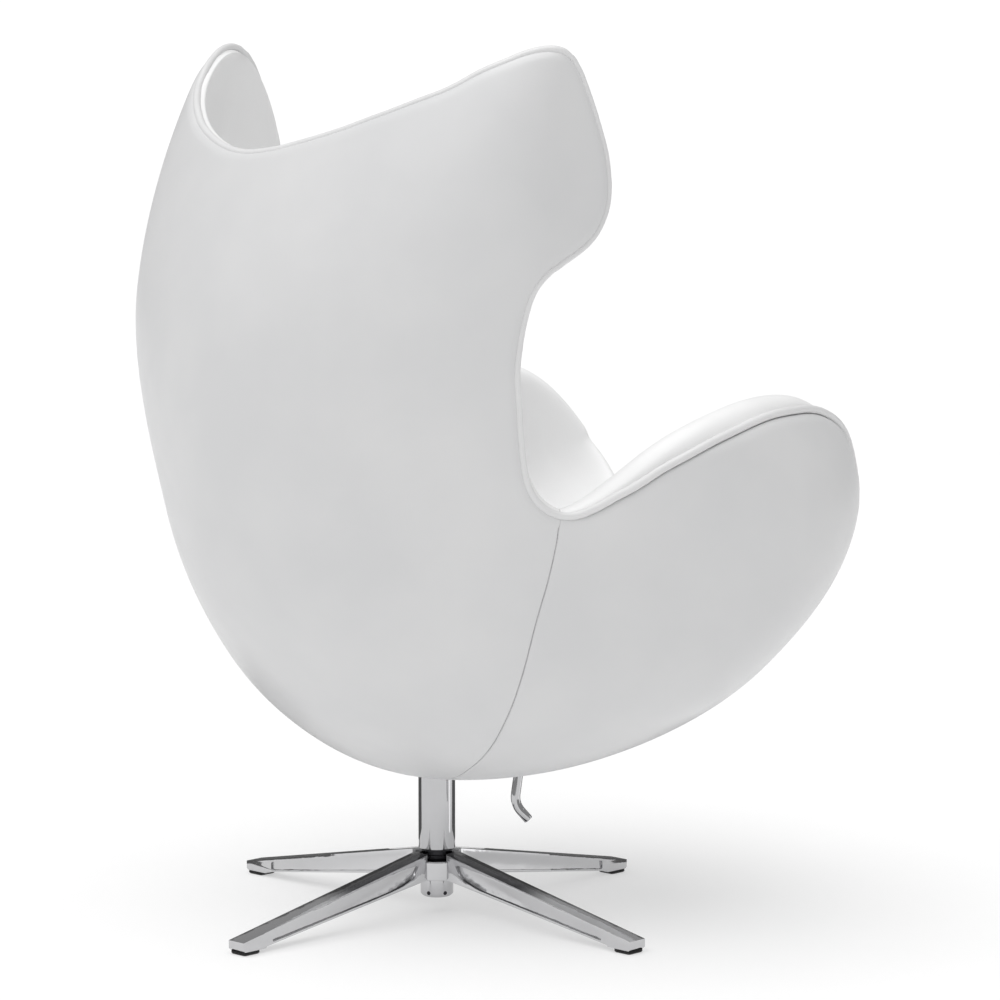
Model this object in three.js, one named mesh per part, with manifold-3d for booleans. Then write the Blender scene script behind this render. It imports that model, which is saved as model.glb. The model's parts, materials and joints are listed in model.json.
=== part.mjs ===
// Swivel lounge chair: an egg-shaped, wing-backed, upholstered shell that tilts on a bracket,
// turns on a bright metal column and stands on a four-leg star base.
// Millimetres, +Z up. The sitter faces -Y. Shapes are drawn about the column axis, and the
// whole chair is then moved so that the origin lies under the middle of its bounding box.
import * as THREE from 'three';
import Module from 'manifold-3d';

const wasm = await Module();
wasm.setup();
const { Manifold, Mesh } = wasm;

// ---------------------------------------------------------------- driving sizes
const COLUMN_Y = 50;        // column axis, behind the middle of the bounding box
const GAP = 0.3;            // clearance between pieces that touch

const SHELL_BOTTOM = 178;   // lowest point of the leather shell
const SHELL_SPAN = 962;     // height covered by u = 0..1, where z = bottom + span * u^2
const KNOT = 0.2;           // spacing in u of the four size lists below
const HALF_WIDTH = [0, 215, 362, 418, 396, 380];
const REAR_REACH = [5, 131, 253, 344, 350, 180];
const WIDEST_AT = [5, -65, -165, -230, 75, 35];
const FRONT_REACH = [5, -211, -400, -533];  // straight beyond the last value

// The rim: [x, z] seen from behind, [y, z] seen from the side, [x, z] seen from the front.
const RIM_BACK = [[0, 971.8], [55.3, 976.3], [110.4, 986.5], [164.2, 999.4], [216.2, 1016.6],
  [266.9, 1036.2], [313.7, 1060.7]];
const RIM_WING = [[121.1, 1085.2], [107, 1091.4], [93.6, 1095.5], [81.1, 1096.6], [69.8, 1094],
  [59.8, 1087.1], [51.1, 1075.8], [43.2, 1060.2], [26.8, 1020.5], [11.7, 975.8], [7.5, 953.5],
  [6.4, 932.3], [9, 913]];
const RIM_SIDE = [[15.8, 896.1], [26.3, 881.7], [39.9, 869.9], [72.1, 851.8], [87.9, 843.4],
  [101.8, 834], [112.9, 822.8], [121, 809.1], [126.6, 792.7], [133.4, 754.6], [133.2, 712.4],
  [121.4, 647.5], [111.7, 607], [105.8, 589.1], [98.2, 573.6], [88.6, 561.2], [77, 551.9],
  [64.3, 545.8]];
const RIM_ARM = [[50.9, 543.4], [36.9, 544.9], [22.5, 550.2], [-8.9, 567.1], [-60.9, 596.8],
  [-117.3, 620.9], [-176.1, 638.9], [-238, 651], [-301.5, 652.7], [-340.6, 647.7],
  [-373.6, 635.7], [-387, 627.9], [-397.8, 618.7], [-405.9, 607.5]];
const RIM_FRONT = [[326.1, 593.7], [326.5, 577.7], [325.4, 560.8], [320.7, 544.1],
  [311.6, 528.6], [298.9, 514.4], [267.4, 489], [217.2, 455.4], [167.1, 427.9], [113.9, 409.2],
  [57.5, 399.6], [0, 396.7]];
const SEAM_SIDE = [[60, 222], [73, 290], [77, 350], [73.5, 425], [65, 490], [60, 525]];   // outer seam, [y, z], below the notch
const SEAM_V = 0.045;       // where the seam crosses the middle, in u behind the lowest point

const BACK_ROWS = 11, SEAT_ROWS = 10, HALF_COLS = 10;  // mesh density of the shell layers
const COVER_T = 3, HARD_T = 6.5;                       // outer leather, moulded shell
const PAD_BACK = 34, PAD_SEAT = 46;                    // lining thickness
const ROLL_BACK = 5;         // how far the lining stands past the rim of the back
// The same along the arm: [place from the notch to the front end, distance].
const ROLL_ARM = [[0, 5], [0.1, 9], [0.2, 23], [0.3, 30], [0.45, 35], [0.6, 32], [0.8, 26], [1, 22]];
const WELT_R = 4.4, WELT_OUT = 5.2, WELT_SIDES = 6;

const LEGS = 4, LEG_TURN = 12, LEG_REACH = 345, LEG_W = 27;
const LEG_TIP_Z = 17, LEG_ROOT_Z = 80, HUB_BOTTOM = 46, HUB_R = 34, HUB_TOP = 70;
const PAD_T = 4.7, FOOT_IN = 15;
const TUBE_R = 23.4, TUBE_IN = 20.5, TUBE_Z0 = 83.3, TUBE_Z1 = 199.7;
const NECK_R = 19.5, SPINDLE_R = 12, SLEEVE_R = 21, SLEEVE_Z0 = 21;

const PIVOT_Z = 250, PLATE_Z = 274, PLATE_T = 5, EAR_X = 30, EAR_T = 6;
const TILT_BORE = 6.3, PIN_R = 6;
const LEVER = { x: -100, y: -68, z: 250, r: 6 };
const WELL = { x: 166, y: 127, top: 287 };             // space for the tilt gear under the seat
const CUSHION = { x: 322, y0: -410, y1: 225, z0: 341.5, z1: 438 };

// ---------------------------------------------------------------- materials
const material = (color, roughness, metalness) =>
  new THREE.MeshStandardMaterial({ color, roughness, metalness });
const LEATHER = material(0xe9e9ea, 0.42, 0);
const CHROME = material(0xc9cacc, 0.12, 1);
const CAST = material(0xb9babc, 0.18, 1);
const STEEL = material(0x8d9094, 0.4, 1);
const DARK_STEEL = material(0x3a3c3f, 0.5, 0.8);
const BLACK = material(0x161616, 0.55, 0);
const NYLON = material(0xd8d6cf, 0.5, 0);
const SHELL_GRP = material(0x9aa19a, 0.6, 0);
const FOAM = material(0xe6dfc0, 0.9, 0);
const WOOD = material(0xb58a5a, 0.7, 0);

// ---------------------------------------------------------------- solid helpers
function weld(positions, triangles) {
  const keys = new Map(), verts = [], faces = [];
  const index = positions.map(([x, y, z]) => {
    const key = [x, y, z].map(v => Math.round(v * 2000)).join();
    if (!keys.has(key)) { keys.set(key, verts.length / 3); verts.push(x, y, z); }
    return keys.get(key);
  });
  for (const [a, b, c] of triangles) {
    const t = [index[a], index[b], index[c]];
    if (t[0] !== t[1] && t[1] !== t[2] && t[2] !== t[0]) faces.push(...t);
  }
  const mesh = new Mesh({ numProp: 3, vertProperties: new Float32Array(verts),
    triVerts: new Uint32Array(faces) });
  const solid = new Manifold(mesh);
  return solid.volume() < 0
    ? new Manifold(new Mesh({ numProp: 3, vertProperties: new Float32Array(verts),
      triVerts: new Uint32Array(faces.map((_, i) => faces[i - (i % 3) + 2 - (i % 3)])) }))
    : solid;
}
function fromGeometry(geometry) {
  const p = geometry.getAttribute('position'), idx = geometry.getIndex();
  const positions = Array.from({ length: p.count }, (_, i) => [p.getX(i), p.getY(i), p.getZ(i)]);
  const order = idx ? Array.from(idx.array) : positions.map((_, i) => i);
  const tris = [];
  for (let i = 0; i < order.length; i += 3) tris.push(order.slice(i, i + 3));
  return weld(positions, tris);
}
function toGeometry(solid) {
  const m = solid.getMesh(), g = new THREE.BufferGeometry();
  g.setAttribute('position', new THREE.BufferAttribute(new Float32Array(m.vertProperties), 3));
  g.setIndex(new THREE.BufferAttribute(new Uint32Array(m.triVerts), 1));
  g.computeVertexNormals();
  return g;
}
// Closed loft through loops of equal length, with fan caps.
function loft(loops) {
  const n = loops[0].length, positions = loops.flat(), tris = [];
  for (let k = 0; k + 1 < loops.length; k++) {
    for (let i = 0; i < n; i++) {
      const a = k * n + i, b = k * n + (i + 1) % n;
      tris.push([a, b, b + n], [a, b + n, a + n]);
    }
  }
  const last = (loops.length - 1) * n;
  for (let i = 1; i + 1 < n; i++) tris.push([0, i + 1, i], [last, last + i, last + i + 1]);
  return weld(positions, tris);
}
const box = (x0, x1, y0, y1, z0, z1) => fromGeometry(
  new THREE.BoxGeometry(x1 - x0, y1 - y0, z1 - z0)
    .translate((x0 + x1) / 2, (y0 + y1) / 2, (z0 + z1) / 2));
// Turned piece about +Z from a closed [radius, z] outline.
function turned(outline, segments = 32) {
  const points = [...outline, outline[0]].map(([r, z]) => new THREE.Vector2(r, z));
  return fromGeometry(new THREE.LatheGeometry(points, segments).rotateX(Math.PI / 2));
}
const ring = (r0, r1, z0, z1, n) => turned([[r0, z0], [r1, z0], [r1, z1], [r0, z1]], n);
const disc = (r, z0, z1, n) => turned([[0, z0], [r, z0], [r, z1], [0, z1]], n);
const alongX = (solid, y, z) => solid.rotate([0, 90, 0]).translate([0, y, z]);
// Flat plate: a (y, z) outline given a thickness from x0 to x1.
const sidePlate = (outline, x0, x1) => loft([x0, x1].map(x => outline.map(([y, z]) => [x, y, z])));
// Round rod along a path, with a domed far end.
function rod(path, r, n = 12) {
  const curve = path.map(p => new THREE.Vector3(...p)), loops = [];
  let side = new THREE.Vector3(1, 0, 0);
  const loopAt = (centre, dir, radius) => {
    side = side.clone().addScaledVector(dir, -side.dot(dir)).normalize();
    const up = new THREE.Vector3().crossVectors(dir, side);
    return Array.from({ length: n }, (_, i) => {
      const a = 2 * Math.PI * i / n;
      return centre.clone().addScaledVector(side, radius * Math.cos(a))
        .addScaledVector(up, radius * Math.sin(a)).toArray();
    });
  };
  curve.forEach((c, i) => {
    const dir = curve[Math.min(i + 1, curve.length - 1)].clone()
      .sub(curve[Math.max(i - 1, 0)]).normalize();
    loops.push(loopAt(c, dir, r));
    if (i === curve.length - 1) {
      for (const a of [35, 70]) {
        const rad = THREE.MathUtils.degToRad(a);
        loops.push(loopAt(c.clone().addScaledVector(dir, r * Math.sin(rad)), dir,
          r * Math.cos(rad)));
      }
    }
  });
  return loft(loops);
}

// ---------------------------------------------------------------- shell surface
function knots(values) {
  const n = values.length, slope = values.map((v, i) =>
    i === 0 ? -1.5 * v + 2 * values[1] - 0.5 * values[2]
      : i === n - 1 ? 1.5 * v - 2 * values[n - 2] + 0.5 * values[n - 3]
        : (values[i + 1] - values[i - 1]) / 2);
  return u => {
    const t = u / KNOT, i = Math.max(0, Math.min(n - 2, Math.floor(t))), f = t - i;
    return (2 * f ** 3 - 3 * f * f + 1) * values[i] + (f ** 3 - 2 * f * f + f) * slope[i]
      + (3 * f * f - 2 * f ** 3) * values[i + 1] + (f ** 3 - f * f) * slope[i + 1];
  };
}
const halfWidth = knots(HALF_WIDTH), rear = knots(REAR_REACH), widest = knots(WIDEST_AT);
const frontCurve = knots(FRONT_REACH), frontEnd = KNOT * (FRONT_REACH.length - 1);
const frontSlope = (frontCurve(frontEnd) - frontCurve(frontEnd - 1e-4)) / 1e-4;
const front = u => u < frontEnd ? frontCurve(u) : frontCurve(frontEnd) + frontSlope * (u - frontEnd);
const middle = u => Math.min(widest(u), rear(u) - 12);
const heightToU = z => Math.sqrt((z - SHELL_BOTTOM) / SHELL_SPAN);

// The surface is a map of a flat pattern (p, q): distance from the lowest point is u, and each
// level is two half ellipses that share the widest line.
function outer(p, q) {
  const u = Math.hypot(p, q) + 1e-9, c = p / u, s = q / u, m = middle(u);
  return new THREE.Vector3(halfWidth(u) * c, m + s * (s > 0 ? rear(u) - m : m - front(u)),
    SHELL_BOTTOM + SHELL_SPAN * u * u);
}
function inward(p, q) {
  const e = 1e-3;
  const dp = outer(p + e, q).sub(outer(p - e, q)), dq = outer(p, q + e).sub(outer(p, q - e));
  return dp.cross(dq).normalize();
}
const patternFromSide = ([y, z]) => {
  const u = heightToU(z), m = middle(u);
  const s = THREE.MathUtils.clamp(y > m ? (y - m) / (rear(u) - m) : (y - m) / (m - front(u)), -1, 1);
  return [u * Math.sqrt(1 - s * s), u * s];
};
const patternFromEnd = sign => ([x, z]) => {
  const u = heightToU(z), c = Math.min(x / halfWidth(u), 1);
  return [u * c, sign * u * Math.sqrt(1 - c * c)];
};

// Smooth pattern curve through points, cut at chosen points and spaced evenly on the shell.
function smooth(points) {
  const curve = new THREE.CatmullRomCurve3(points.map(([p, q]) => new THREE.Vector3(p, q, 0)),
    false, 'centripetal');
  return (from, to, steps) => {
    const fine = 40 * Math.abs(to - from), last = points.length - 1;
    const dense = Array.from({ length: fine + 1 }, (_, k) =>
      curve.getPoint((from + (to - from) * k / fine) / last));
    const spot = dense.map(v => outer(v.x, v.y)), length = [0];
    for (let k = 1; k <= fine; k++) length.push(length[k - 1] + spot[k].distanceTo(spot[k - 1]));
    return Array.from({ length: steps + 1 }, (_, k) => {
      const want = length[fine] * k / steps, found = length.findIndex(l => l >= want);
      const i = found < 0 ? fine : Math.max(found, 1);
      const f = (want - length[i - 1]) / (length[i] - length[i - 1]);
      const v = dense[i - 1].clone().lerp(dense[i], f);
      return [v.x, v.y];
    });
  };
}
const rimPoints = [...RIM_BACK.map(patternFromEnd(1)), ...RIM_WING.map(patternFromSide),
  ...RIM_SIDE.map(patternFromSide), ...RIM_ARM.map(patternFromSide), ...RIM_FRONT.map(patternFromEnd(-1))];
const mirror = ([p, q]) => [-p, q];
const rim = smooth([mirror(rimPoints[1]), ...rimPoints, mirror(rimPoints.at(-2))]);
const AT_TOP = 1, AT_WING = RIM_BACK.length + RIM_WING.length;
const AT_NOTCH = AT_WING + RIM_SIDE.length;
const AT_ARM_END = AT_NOTCH + RIM_ARM.length, AT_FRONT = rimPoints.length;
const seamSide = SEAM_SIDE.map(patternFromSide);
const seamPoints = [mirror(seamSide[0]), [0, SEAM_V], ...seamSide, rimPoints[AT_NOTCH - 1]];

// Two four-sided patches of the pattern, joined along the seam: rows run from rim to rim.
function patch(spine, side, first, last) {
  return side.map((_, i) => {
    const s = i / (side.length - 1);
    return first.map((_, j) => {
      const t = j / (first.length - 1);
      return [0, 1].map(k => (1 - t) * spine[i][k] + t * side[i][k]
        + (1 - s) * first[j][k] + s * last[j][k]
        - (1 - s) * ((1 - t) * first[0][k] + t * first.at(-1)[k])
        - s * ((1 - t) * last[0][k] + t * last.at(-1)[k]));
    });
  });
}
// Winslow smoothing: the inner points settle until the patch has no folds.
function relax(grid, rounds = 300) {
  for (let r = 0; r < rounds; r++) {
    for (let i = 1; i < grid.length - 1; i++) {
      for (let j = 1; j < grid[0].length - 1; j++) {
        const down = grid[i + 1], up = grid[i - 1], here = grid[i];
        const di = [0, 1].map(k => (down[j][k] - up[j][k]) / 2);
        const dj = [0, 1].map(k => (here[j + 1][k] - here[j - 1][k]) / 2);
        const a = dj[0] ** 2 + dj[1] ** 2, c = di[0] ** 2 + di[1] ** 2;
        const b = (di[0] * dj[0] + di[1] * dj[1]) / 2;
        here[j] = [0, 1].map(k => (a * (down[j][k] + up[j][k]) + c * (here[j + 1][k] + here[j - 1][k])
          - b * (down[j + 1][k] - down[j - 1][k] - up[j + 1][k] + up[j - 1][k])) / (2 * (a + c)));
      }
    }
  }
  return grid;
}
const line = (a, b, n) => Array.from({ length: n + 1 }, (_, k) =>
  [a[0] + (b[0] - a[0]) * k / n, a[1] + (b[1] - a[1]) * k / n]);
const topRow = rim(AT_TOP, AT_WING, HALF_COLS);
const seamRow = smooth(seamPoints)(1, seamPoints.length - 1, HALF_COLS);
const frontRow = rim(AT_FRONT, AT_ARM_END, HALF_COLS);
const backPatch = relax(patch(line(topRow[0], seamRow[0], BACK_ROWS),
  rim(AT_WING, AT_NOTCH, BACK_ROWS), topRow, seamRow));
const seatPatch = relax(patch(line(seamRow[0], frontRow[0], SEAT_ROWS),
  rim(AT_NOTCH, AT_ARM_END, SEAT_ROWS), seamRow, frontRow));
const ROWS = BACK_ROWS + SEAT_ROWS, SEAM_ROW = BACK_ROWS;
const pattern = [...backPatch.slice(0, -1), ...seatPatch]
  .map(row => [...row.slice(1).reverse().map(mirror), ...row]);
const COLS = 2 * HALF_COLS;

// Points, inward normals, and on the rim the direction that leaves the shell along its surface.
const skin = pattern.map(row => row.map(([p, q]) => ({ at: outer(p, q), in: inward(p, q) })));
skin.forEach((row, i) => row.forEach((v, j) => {
  const onSide = j === 0 || j === COLS, onEnd = i === 0 || i === ROWS;
  if (!onSide && !onEnd) return;
  const a = onSide ? skin[Math.max(i - 1, 0)][j] : row[j - 1];
  const b = onSide ? skin[Math.min(i + 1, ROWS)][j] : row[j + 1];
  let along = b.at.clone().sub(a.at);
  const inner = skin[Math.min(Math.max(i, 1), ROWS - 1)][Math.min(Math.max(j, 1), COLS - 1)];
  if (onSide && onEnd) {
    along = skin[i ? i - 1 : 1][j].at.clone().sub(row[j ? j - 1 : 1].at);
  }
  v.out = along.cross(v.in).normalize();
  if (v.out.dot(inner.at.clone().sub(v.at)) > 0) v.out.negate();
}));

// A layer of the shell between two depths, over some of the rows. `roll` gives the rounded edge
// of a padded layer; the ends that lie on the seam are set back by half a gap.
function layer(row0, row1, depth0, depth1, roll = null) {
  const positions = [], tris = [], seamShift = 0.5;
  const place = (i, j, depth, past) => {
    const v = skin[i][j], p = v.at.clone().addScaledVector(v.in, depth);
    if (past && v.out) p.addScaledVector(v.out, past);
    const seamStart = i === row0 && i !== 0, seamEnd = i === row1 && i !== ROWS;
    if (seamStart || seamEnd) {
      p.addScaledVector(skin[i + (seamStart ? 1 : -1)][j].at.clone().sub(v.at).normalize(),
        seamShift);
    }
    positions.push(p.toArray());
    return positions.length - 1;
  };
  const far = (i, j) => typeof depth1 === 'function' ? depth1(i, j) : depth1;
  const sheet = depthOf => {
    const id = [];
    for (let i = row0; i <= row1; i++) {
      id.push(Array.from({ length: COLS + 1 }, (_, j) => place(i, j, depthOf(i, j), 0)));
    }
    return id;
  };
  const A = sheet(() => depth0), B = sheet(far), n = row1 - row0;
  for (let i = 0; i < n; i++) {
    for (let j = 0; j < COLS; j++) {
      for (const [S, flip] of [[A, false], [B, true]]) {
        const quad = [S[i][j], S[i + 1][j], S[i + 1][j + 1], S[i][j + 1]];
        if (j < HALF_COLS) quad.push(quad.shift());
        const [a, b, c, d] = flip ? quad.reverse() : quad;
        tris.push(...flip ? [[a, b, d], [b, c, d]] : [[a, b, c], [a, c, d]]);
      }
    }
  }
  const loop = [];
  for (let j = 0; j < COLS; j++) loop.push([0, j]);
  for (let i = 0; i < n; i++) loop.push([i, COLS]);
  for (let j = COLS; j > 0; j--) loop.push([n, j]);
  for (let i = n; i > 0; i--) loop.push([i, 0]);
  const rings = [loop.map(([i, j]) => A[i][j])];
  for (const a of roll ? [-65, -30, 0, 30, 65] : []) {
    const rad = THREE.MathUtils.degToRad(a);
    rings.push(loop.map(([i, j]) => {
      const d = far(row0 + i, j), mid = (depth0 + d) / 2, onRim = skin[row0 + i][j].out;
      return place(row0 + i, j, mid + (d - depth0) / 2 * Math.sin(rad),
        onRim ? roll(row0 + i) * Math.cos(rad) : 0);
    }));
  }
  rings.push(loop.map(([i, j]) => B[i][j]));
  for (let k = 0; k + 1 < rings.length; k++) {
    loop.forEach((_, i) => {
      const m = (i + 1) % loop.length, [r0, r1] = [rings[k], rings[k + 1]];
      tris.push([r0[i], r0[m], r1[m]], [r0[i], r1[m], r1[i]]);
    });
  }
  return weld(positions, tris);
}

// The space inside a given depth, from the bottom up to past the cushion.
function bowl(depth) {
  const around = 36, levels = [0.06, 0.12, 0.18, 0.24, 0.31, 0.38, 0.45, 0.52, 0.6];
  const ringAt = u => Array.from({ length: around }, (_, k) => {
    const a = 2 * Math.PI * k / around, p = u * Math.cos(a), q = u * Math.sin(a);
    return outer(p, q).addScaledVector(inward(p, q), depth).toArray();
  });
  const base = outer(0, 0.001).addScaledVector(new THREE.Vector3(0, 0, 1), depth).toArray();
  const positions = [base, ...levels.flatMap(ringAt), [0, 0, 520]], tris = [];
  const id = (l, k) => 1 + l * around + (k % around), top = positions.length - 1;
  for (let k = 0; k < around; k++) {
    tris.push([0, id(0, k + 1), id(0, k)]);
    for (let l = 0; l + 1 < levels.length; l++) {
      tris.push([id(l, k), id(l, k + 1), id(l + 1, k + 1)], [id(l, k), id(l + 1, k + 1), id(l + 1, k)]);
    }
    tris.push([top, id(levels.length - 1, k), id(levels.length - 1, k + 1)]);
  }
  return weld(positions, tris);
}

// ---------------------------------------------------------------- assembly
const chair = new THREE.Group();
chair.name = 'swivel_lounge_chair';
chair.position.y = COLUMN_Y;
function add(name, solid, mat) {
  const mesh = new THREE.Mesh(toGeometry(solid), mat);
  mesh.name = name;
  chair.add(mesh);
  return mesh;
}

// Star base: tapering legs with a long pocket on each side, and a hub bored for the spindle.
function legSolid() {
  const root = 10, topAt = r => LEG_ROOT_Z + (LEG_TIP_Z - LEG_ROOT_Z) * (r - TUBE_R) / (LEG_REACH - TUBE_R);
  const underAt = r => r > LEG_REACH - 42 ? PAD_T + GAP
    : THREE.MathUtils.mapLinear(r, HUB_R, LEG_REACH - 42, HUB_BOTTOM, PAD_T + 3);
  const section = (r, low) => {
    const w = LEG_W / 2, z1 = topAt(r), z0 = low ?? underAt(r), c = 2;
    return [[-w, z0], [w, z0], [w, z1 - c], [w - c, z1], [-w + c, z1], [-w, z1 - c]]
      .map(([y, z]) => [r, y, z]);
  };
  const step = LEG_REACH - 42;
  let leg = loft([section(root, HUB_BOTTOM), section(HUB_R, HUB_BOTTOM), section(step),
    section(step + 3, PAD_T + GAP), section(LEG_REACH, PAD_T + GAP)]);
  const pocket = [[HUB_R + 16, underAt(HUB_R) + 3.5], [step - 30, underAt(step - 30) + 2.5],
    [step - 30, topAt(step - 30) - 6], [HUB_R + 16, topAt(HUB_R + 16) - 7]];
  for (const side of [-1, 1]) {
    const y0 = side * (LEG_W / 2 - 2.5), y1 = side * (LEG_W / 2 + 5);
    leg = leg.subtract(loft([Math.min(y0, y1), Math.max(y0, y1)]
      .map(y => pocket.map(([x, z]) => [x, y, z]))));
  }
  const x = LEG_REACH - FOOT_IN;
  return leg.subtract(disc(4.3, 0, 14.5, 16).translate([x, 0, 0]));
}
const turn = k => LEG_TURN + 360 * k / LEGS;
let star = disc(HUB_R, HUB_BOTTOM, HUB_TOP, 40);
for (let k = 0; k < LEGS; k++) star = star.add(legSolid().rotate([0, 0, turn(k)]));
star = star.subtract(disc(NECK_R + GAP, HUB_TOP, 120, 32))
  .subtract(disc(14.9, 0, 120, 24));
add('star_base', star, CAST);
for (let k = 0; k < LEGS; k++) {
  const x = LEG_REACH - FOOT_IN, h = LEG_W / 2 - 0.5;
  const pad = loft([[h - 1.5, 0], [h, 1.5], [h, PAD_T]].map(([s, z]) =>
    [[-s, -s + 3], [-s + 3, -s], [s - 3, -s], [s, -s + 3], [s, s - 3], [s - 3, s],
      [-s + 3, s], [-s, s - 3]].map(([a, b]) => [x + a, b, z])));
  add(`foot_pad_${k + 1}`, pad.subtract(disc(4.3, 1.5, 9, 16).translate([x, 0, 0]))
    .rotate([0, 0, turn(k)]), BLACK);
  add(`glide_stem_${k + 1}`, disc(4, 1.8, 14.2, 16).translate([x, 0, 0])
    .rotate([0, 0, turn(k)]), STEEL);
}
add('column_collar', ring(14.9, NECK_R, HUB_TOP + GAP, TUBE_Z0 - GAP, 32), DARK_STEEL);
add('column_tube', ring(TUBE_IN, TUBE_R, TUBE_Z0, TUBE_Z1, 36), CHROME);
const screwAngles = [117, 177];
const screwHole = (angle, r) => alongX(disc(r, SPINDLE_R + 3.6, SLEEVE_R + 4, 12), 0, SLEEVE_Z0 + 6)
  .rotate([0, 0, angle]);
let sleeve = turned([[15.2, SLEEVE_Z0], [SLEEVE_R - 3, SLEEVE_Z0], [SLEEVE_R - 0.9, SLEEVE_Z0 + 0.9],
  [SLEEVE_R, SLEEVE_Z0 + 3], [SLEEVE_R, HUB_BOTTOM - GAP], [15.2, HUB_BOTTOM - GAP]], 32);
for (const a of screwAngles) sleeve = sleeve.subtract(screwHole(a, 2.6));
add('hub_sleeve', sleeve, CHROME);
screwAngles.forEach((a, k) => add(`set_screw_${k + 1}`,
  alongX(disc(2.3, SPINDLE_R + 3.6, SLEEVE_R - 0.8, 12), 0, SLEEVE_Z0 + 6).rotate([0, 0, a]),
  DARK_STEEL));
add('lower_bush', ring(SPINDLE_R + GAP, 14.6, HUB_BOTTOM + 2, TUBE_Z0 - 1, 24), NYLON);
add('upper_bush', turned([[SPINDLE_R + GAP, 178], [TUBE_IN - GAP, 178],
  [TUBE_IN - GAP, TUBE_Z1 + GAP], [TUBE_R - 0.4, TUBE_Z1 + GAP], [TUBE_R - 0.4, TUBE_Z1 + 2.8],
  [SPINDLE_R + GAP, TUBE_Z1 + 2.8]], 28), BLACK);

// Swivelling parts: spindle, thrust washer, tilt bracket with its pin, spring and buffers.
add('spindle', disc(SPINDLE_R, 32, 222, 28), STEEL);
add('retaining_ring', ring(SPINDLE_R + GAP, 14.6, 38, 41, 24), DARK_STEEL);
add('thrust_washer', ring(SPINDLE_R + GAP, 22, TUBE_Z1 + 3.1, 204.7, 28), NYLON);
const ear = [[-26, 205], [62, 205], [62, 244], [16, 263], [-16, 263], [-62, 258], [-62, 246]];
let bracket = box(-EAR_X - 1, EAR_X + 1, -25, 62, 205, 211)
  .add(box(-EAR_X - 1, EAR_X + 1, -62, -46, 248, 258))
  .add(box(-EAR_X - 1, EAR_X + 1, 46, 62, 236, 244));
for (const x of [-EAR_X - EAR_T, EAR_X]) bracket = bracket.add(sidePlate(ear, x, x + EAR_T));
bracket = bracket.subtract(disc(SPINDLE_R + 0.4, 190, 230, 32))
  .subtract(alongX(disc(TILT_BORE, -60, 60, 24), 0, PIVOT_Z));
add('tilt_bracket', bracket, DARK_STEEL);
add('spindle_nut', disc(19, 211.3, 220, 6).subtract(disc(SPINDLE_R + GAP, 200, 230, 24)), STEEL);
add('pivot_pin', alongX(disc(PIN_R, -50, 50, 24), 0, PIVOT_Z), STEEL);
add('front_buffer', box(-18, 18, -61, -47, 258.3, PLATE_Z - GAP), BLACK);
add('rear_buffer', box(-18, 18, 47, 61, 244.3, 259.5), BLACK);
const springTurns = 6, springPath = Array.from({ length: springTurns * 10 + 1 }, (_, k) => {
  const a = 2 * Math.PI * k / 10;
  return [THREE.MathUtils.lerp(-24, 24, k / (springTurns * 10)), 11 * Math.cos(a),
    PIVOT_Z + 11 * Math.sin(a)];
});
add('tilt_spring', rod(springPath, 2.2, 5), STEEL);

// Tilting parts under the seat: plate with hinge lugs, bearers, bolts, and the lever's pin.
const lug = (y, z, half, drop) => [[y - half, PLATE_Z + 1], [y - half, z], [y - half / 2, z - drop],
  [y + half / 2, z - drop], [y + half, z], [y + half, PLATE_Z + 1]].reverse();
const plateHalf = { x: 154, y: 96 };
let plate = box(-plateHalf.x, plateHalf.x, -plateHalf.y, plateHalf.y, PLATE_Z, PLATE_Z + PLATE_T);
const hingeX = EAR_X + EAR_T + 2;
for (const x of [-hingeX - EAR_T, hingeX]) {
  plate = plate.add(sidePlate(lug(0, PIVOT_Z - 4, 14, 9), x, x + EAR_T));
}
for (const x of [LEVER.x - 10.8, LEVER.x + 6.8]) {
  plate = plate.add(sidePlate(lug(LEVER.y, LEVER.z - 3, 8, 5), x, x + 4));
}
plate = plate.subtract(alongX(disc(TILT_BORE, -60, 60, 24), 0, PIVOT_Z))
  .subtract(alongX(disc(3.3, LEVER.x - 15, LEVER.x + 15, 16), LEVER.y, LEVER.z));
const bolts = [[-1, -1], [1, -1], [1, 1], [-1, 1]].map(([a, b]) => [a * 142, b * 72]);
for (const [x, y] of bolts) plate = plate.subtract(disc(4.4, 260, 290, 16).translate([x, y, 0]));
add('mount_plate', plate, DARK_STEEL);
const shellInner = COVER_T + GAP + HARD_T;
const hull = bowl(shellInner + 4.5);
for (const [name, side] of [['bearer_l', 1], ['bearer_r', -1]]) {
  let bearer = box(side > 0 ? 130 : -154, side > 0 ? 154 : -130, -94, 94, 190, PLATE_Z - GAP)
    .intersect(hull);
  for (const [x, y] of bolts) {
    if (x * side > 0) bearer = bearer.subtract(disc(4.4, 238, 290, 16).translate([x, y, 0]));
  }
  add(name, bearer, WOOD);
}
bolts.forEach(([x, y], k) => add(`plate_bolt_${k + 1}`, turned([[0, 240], [4, 240],
  [4, PLATE_Z + PLATE_T + GAP], [7, PLATE_Z + PLATE_T + GAP], [7, PLATE_Z + PLATE_T + 5],
  [0, PLATE_Z + PLATE_T + 5]], 12).translate([x, y, 0]), STEEL));
add('lever_pin', alongX(disc(3, LEVER.x - 12, LEVER.x + 12, 16), LEVER.y, LEVER.z), STEEL);

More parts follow.
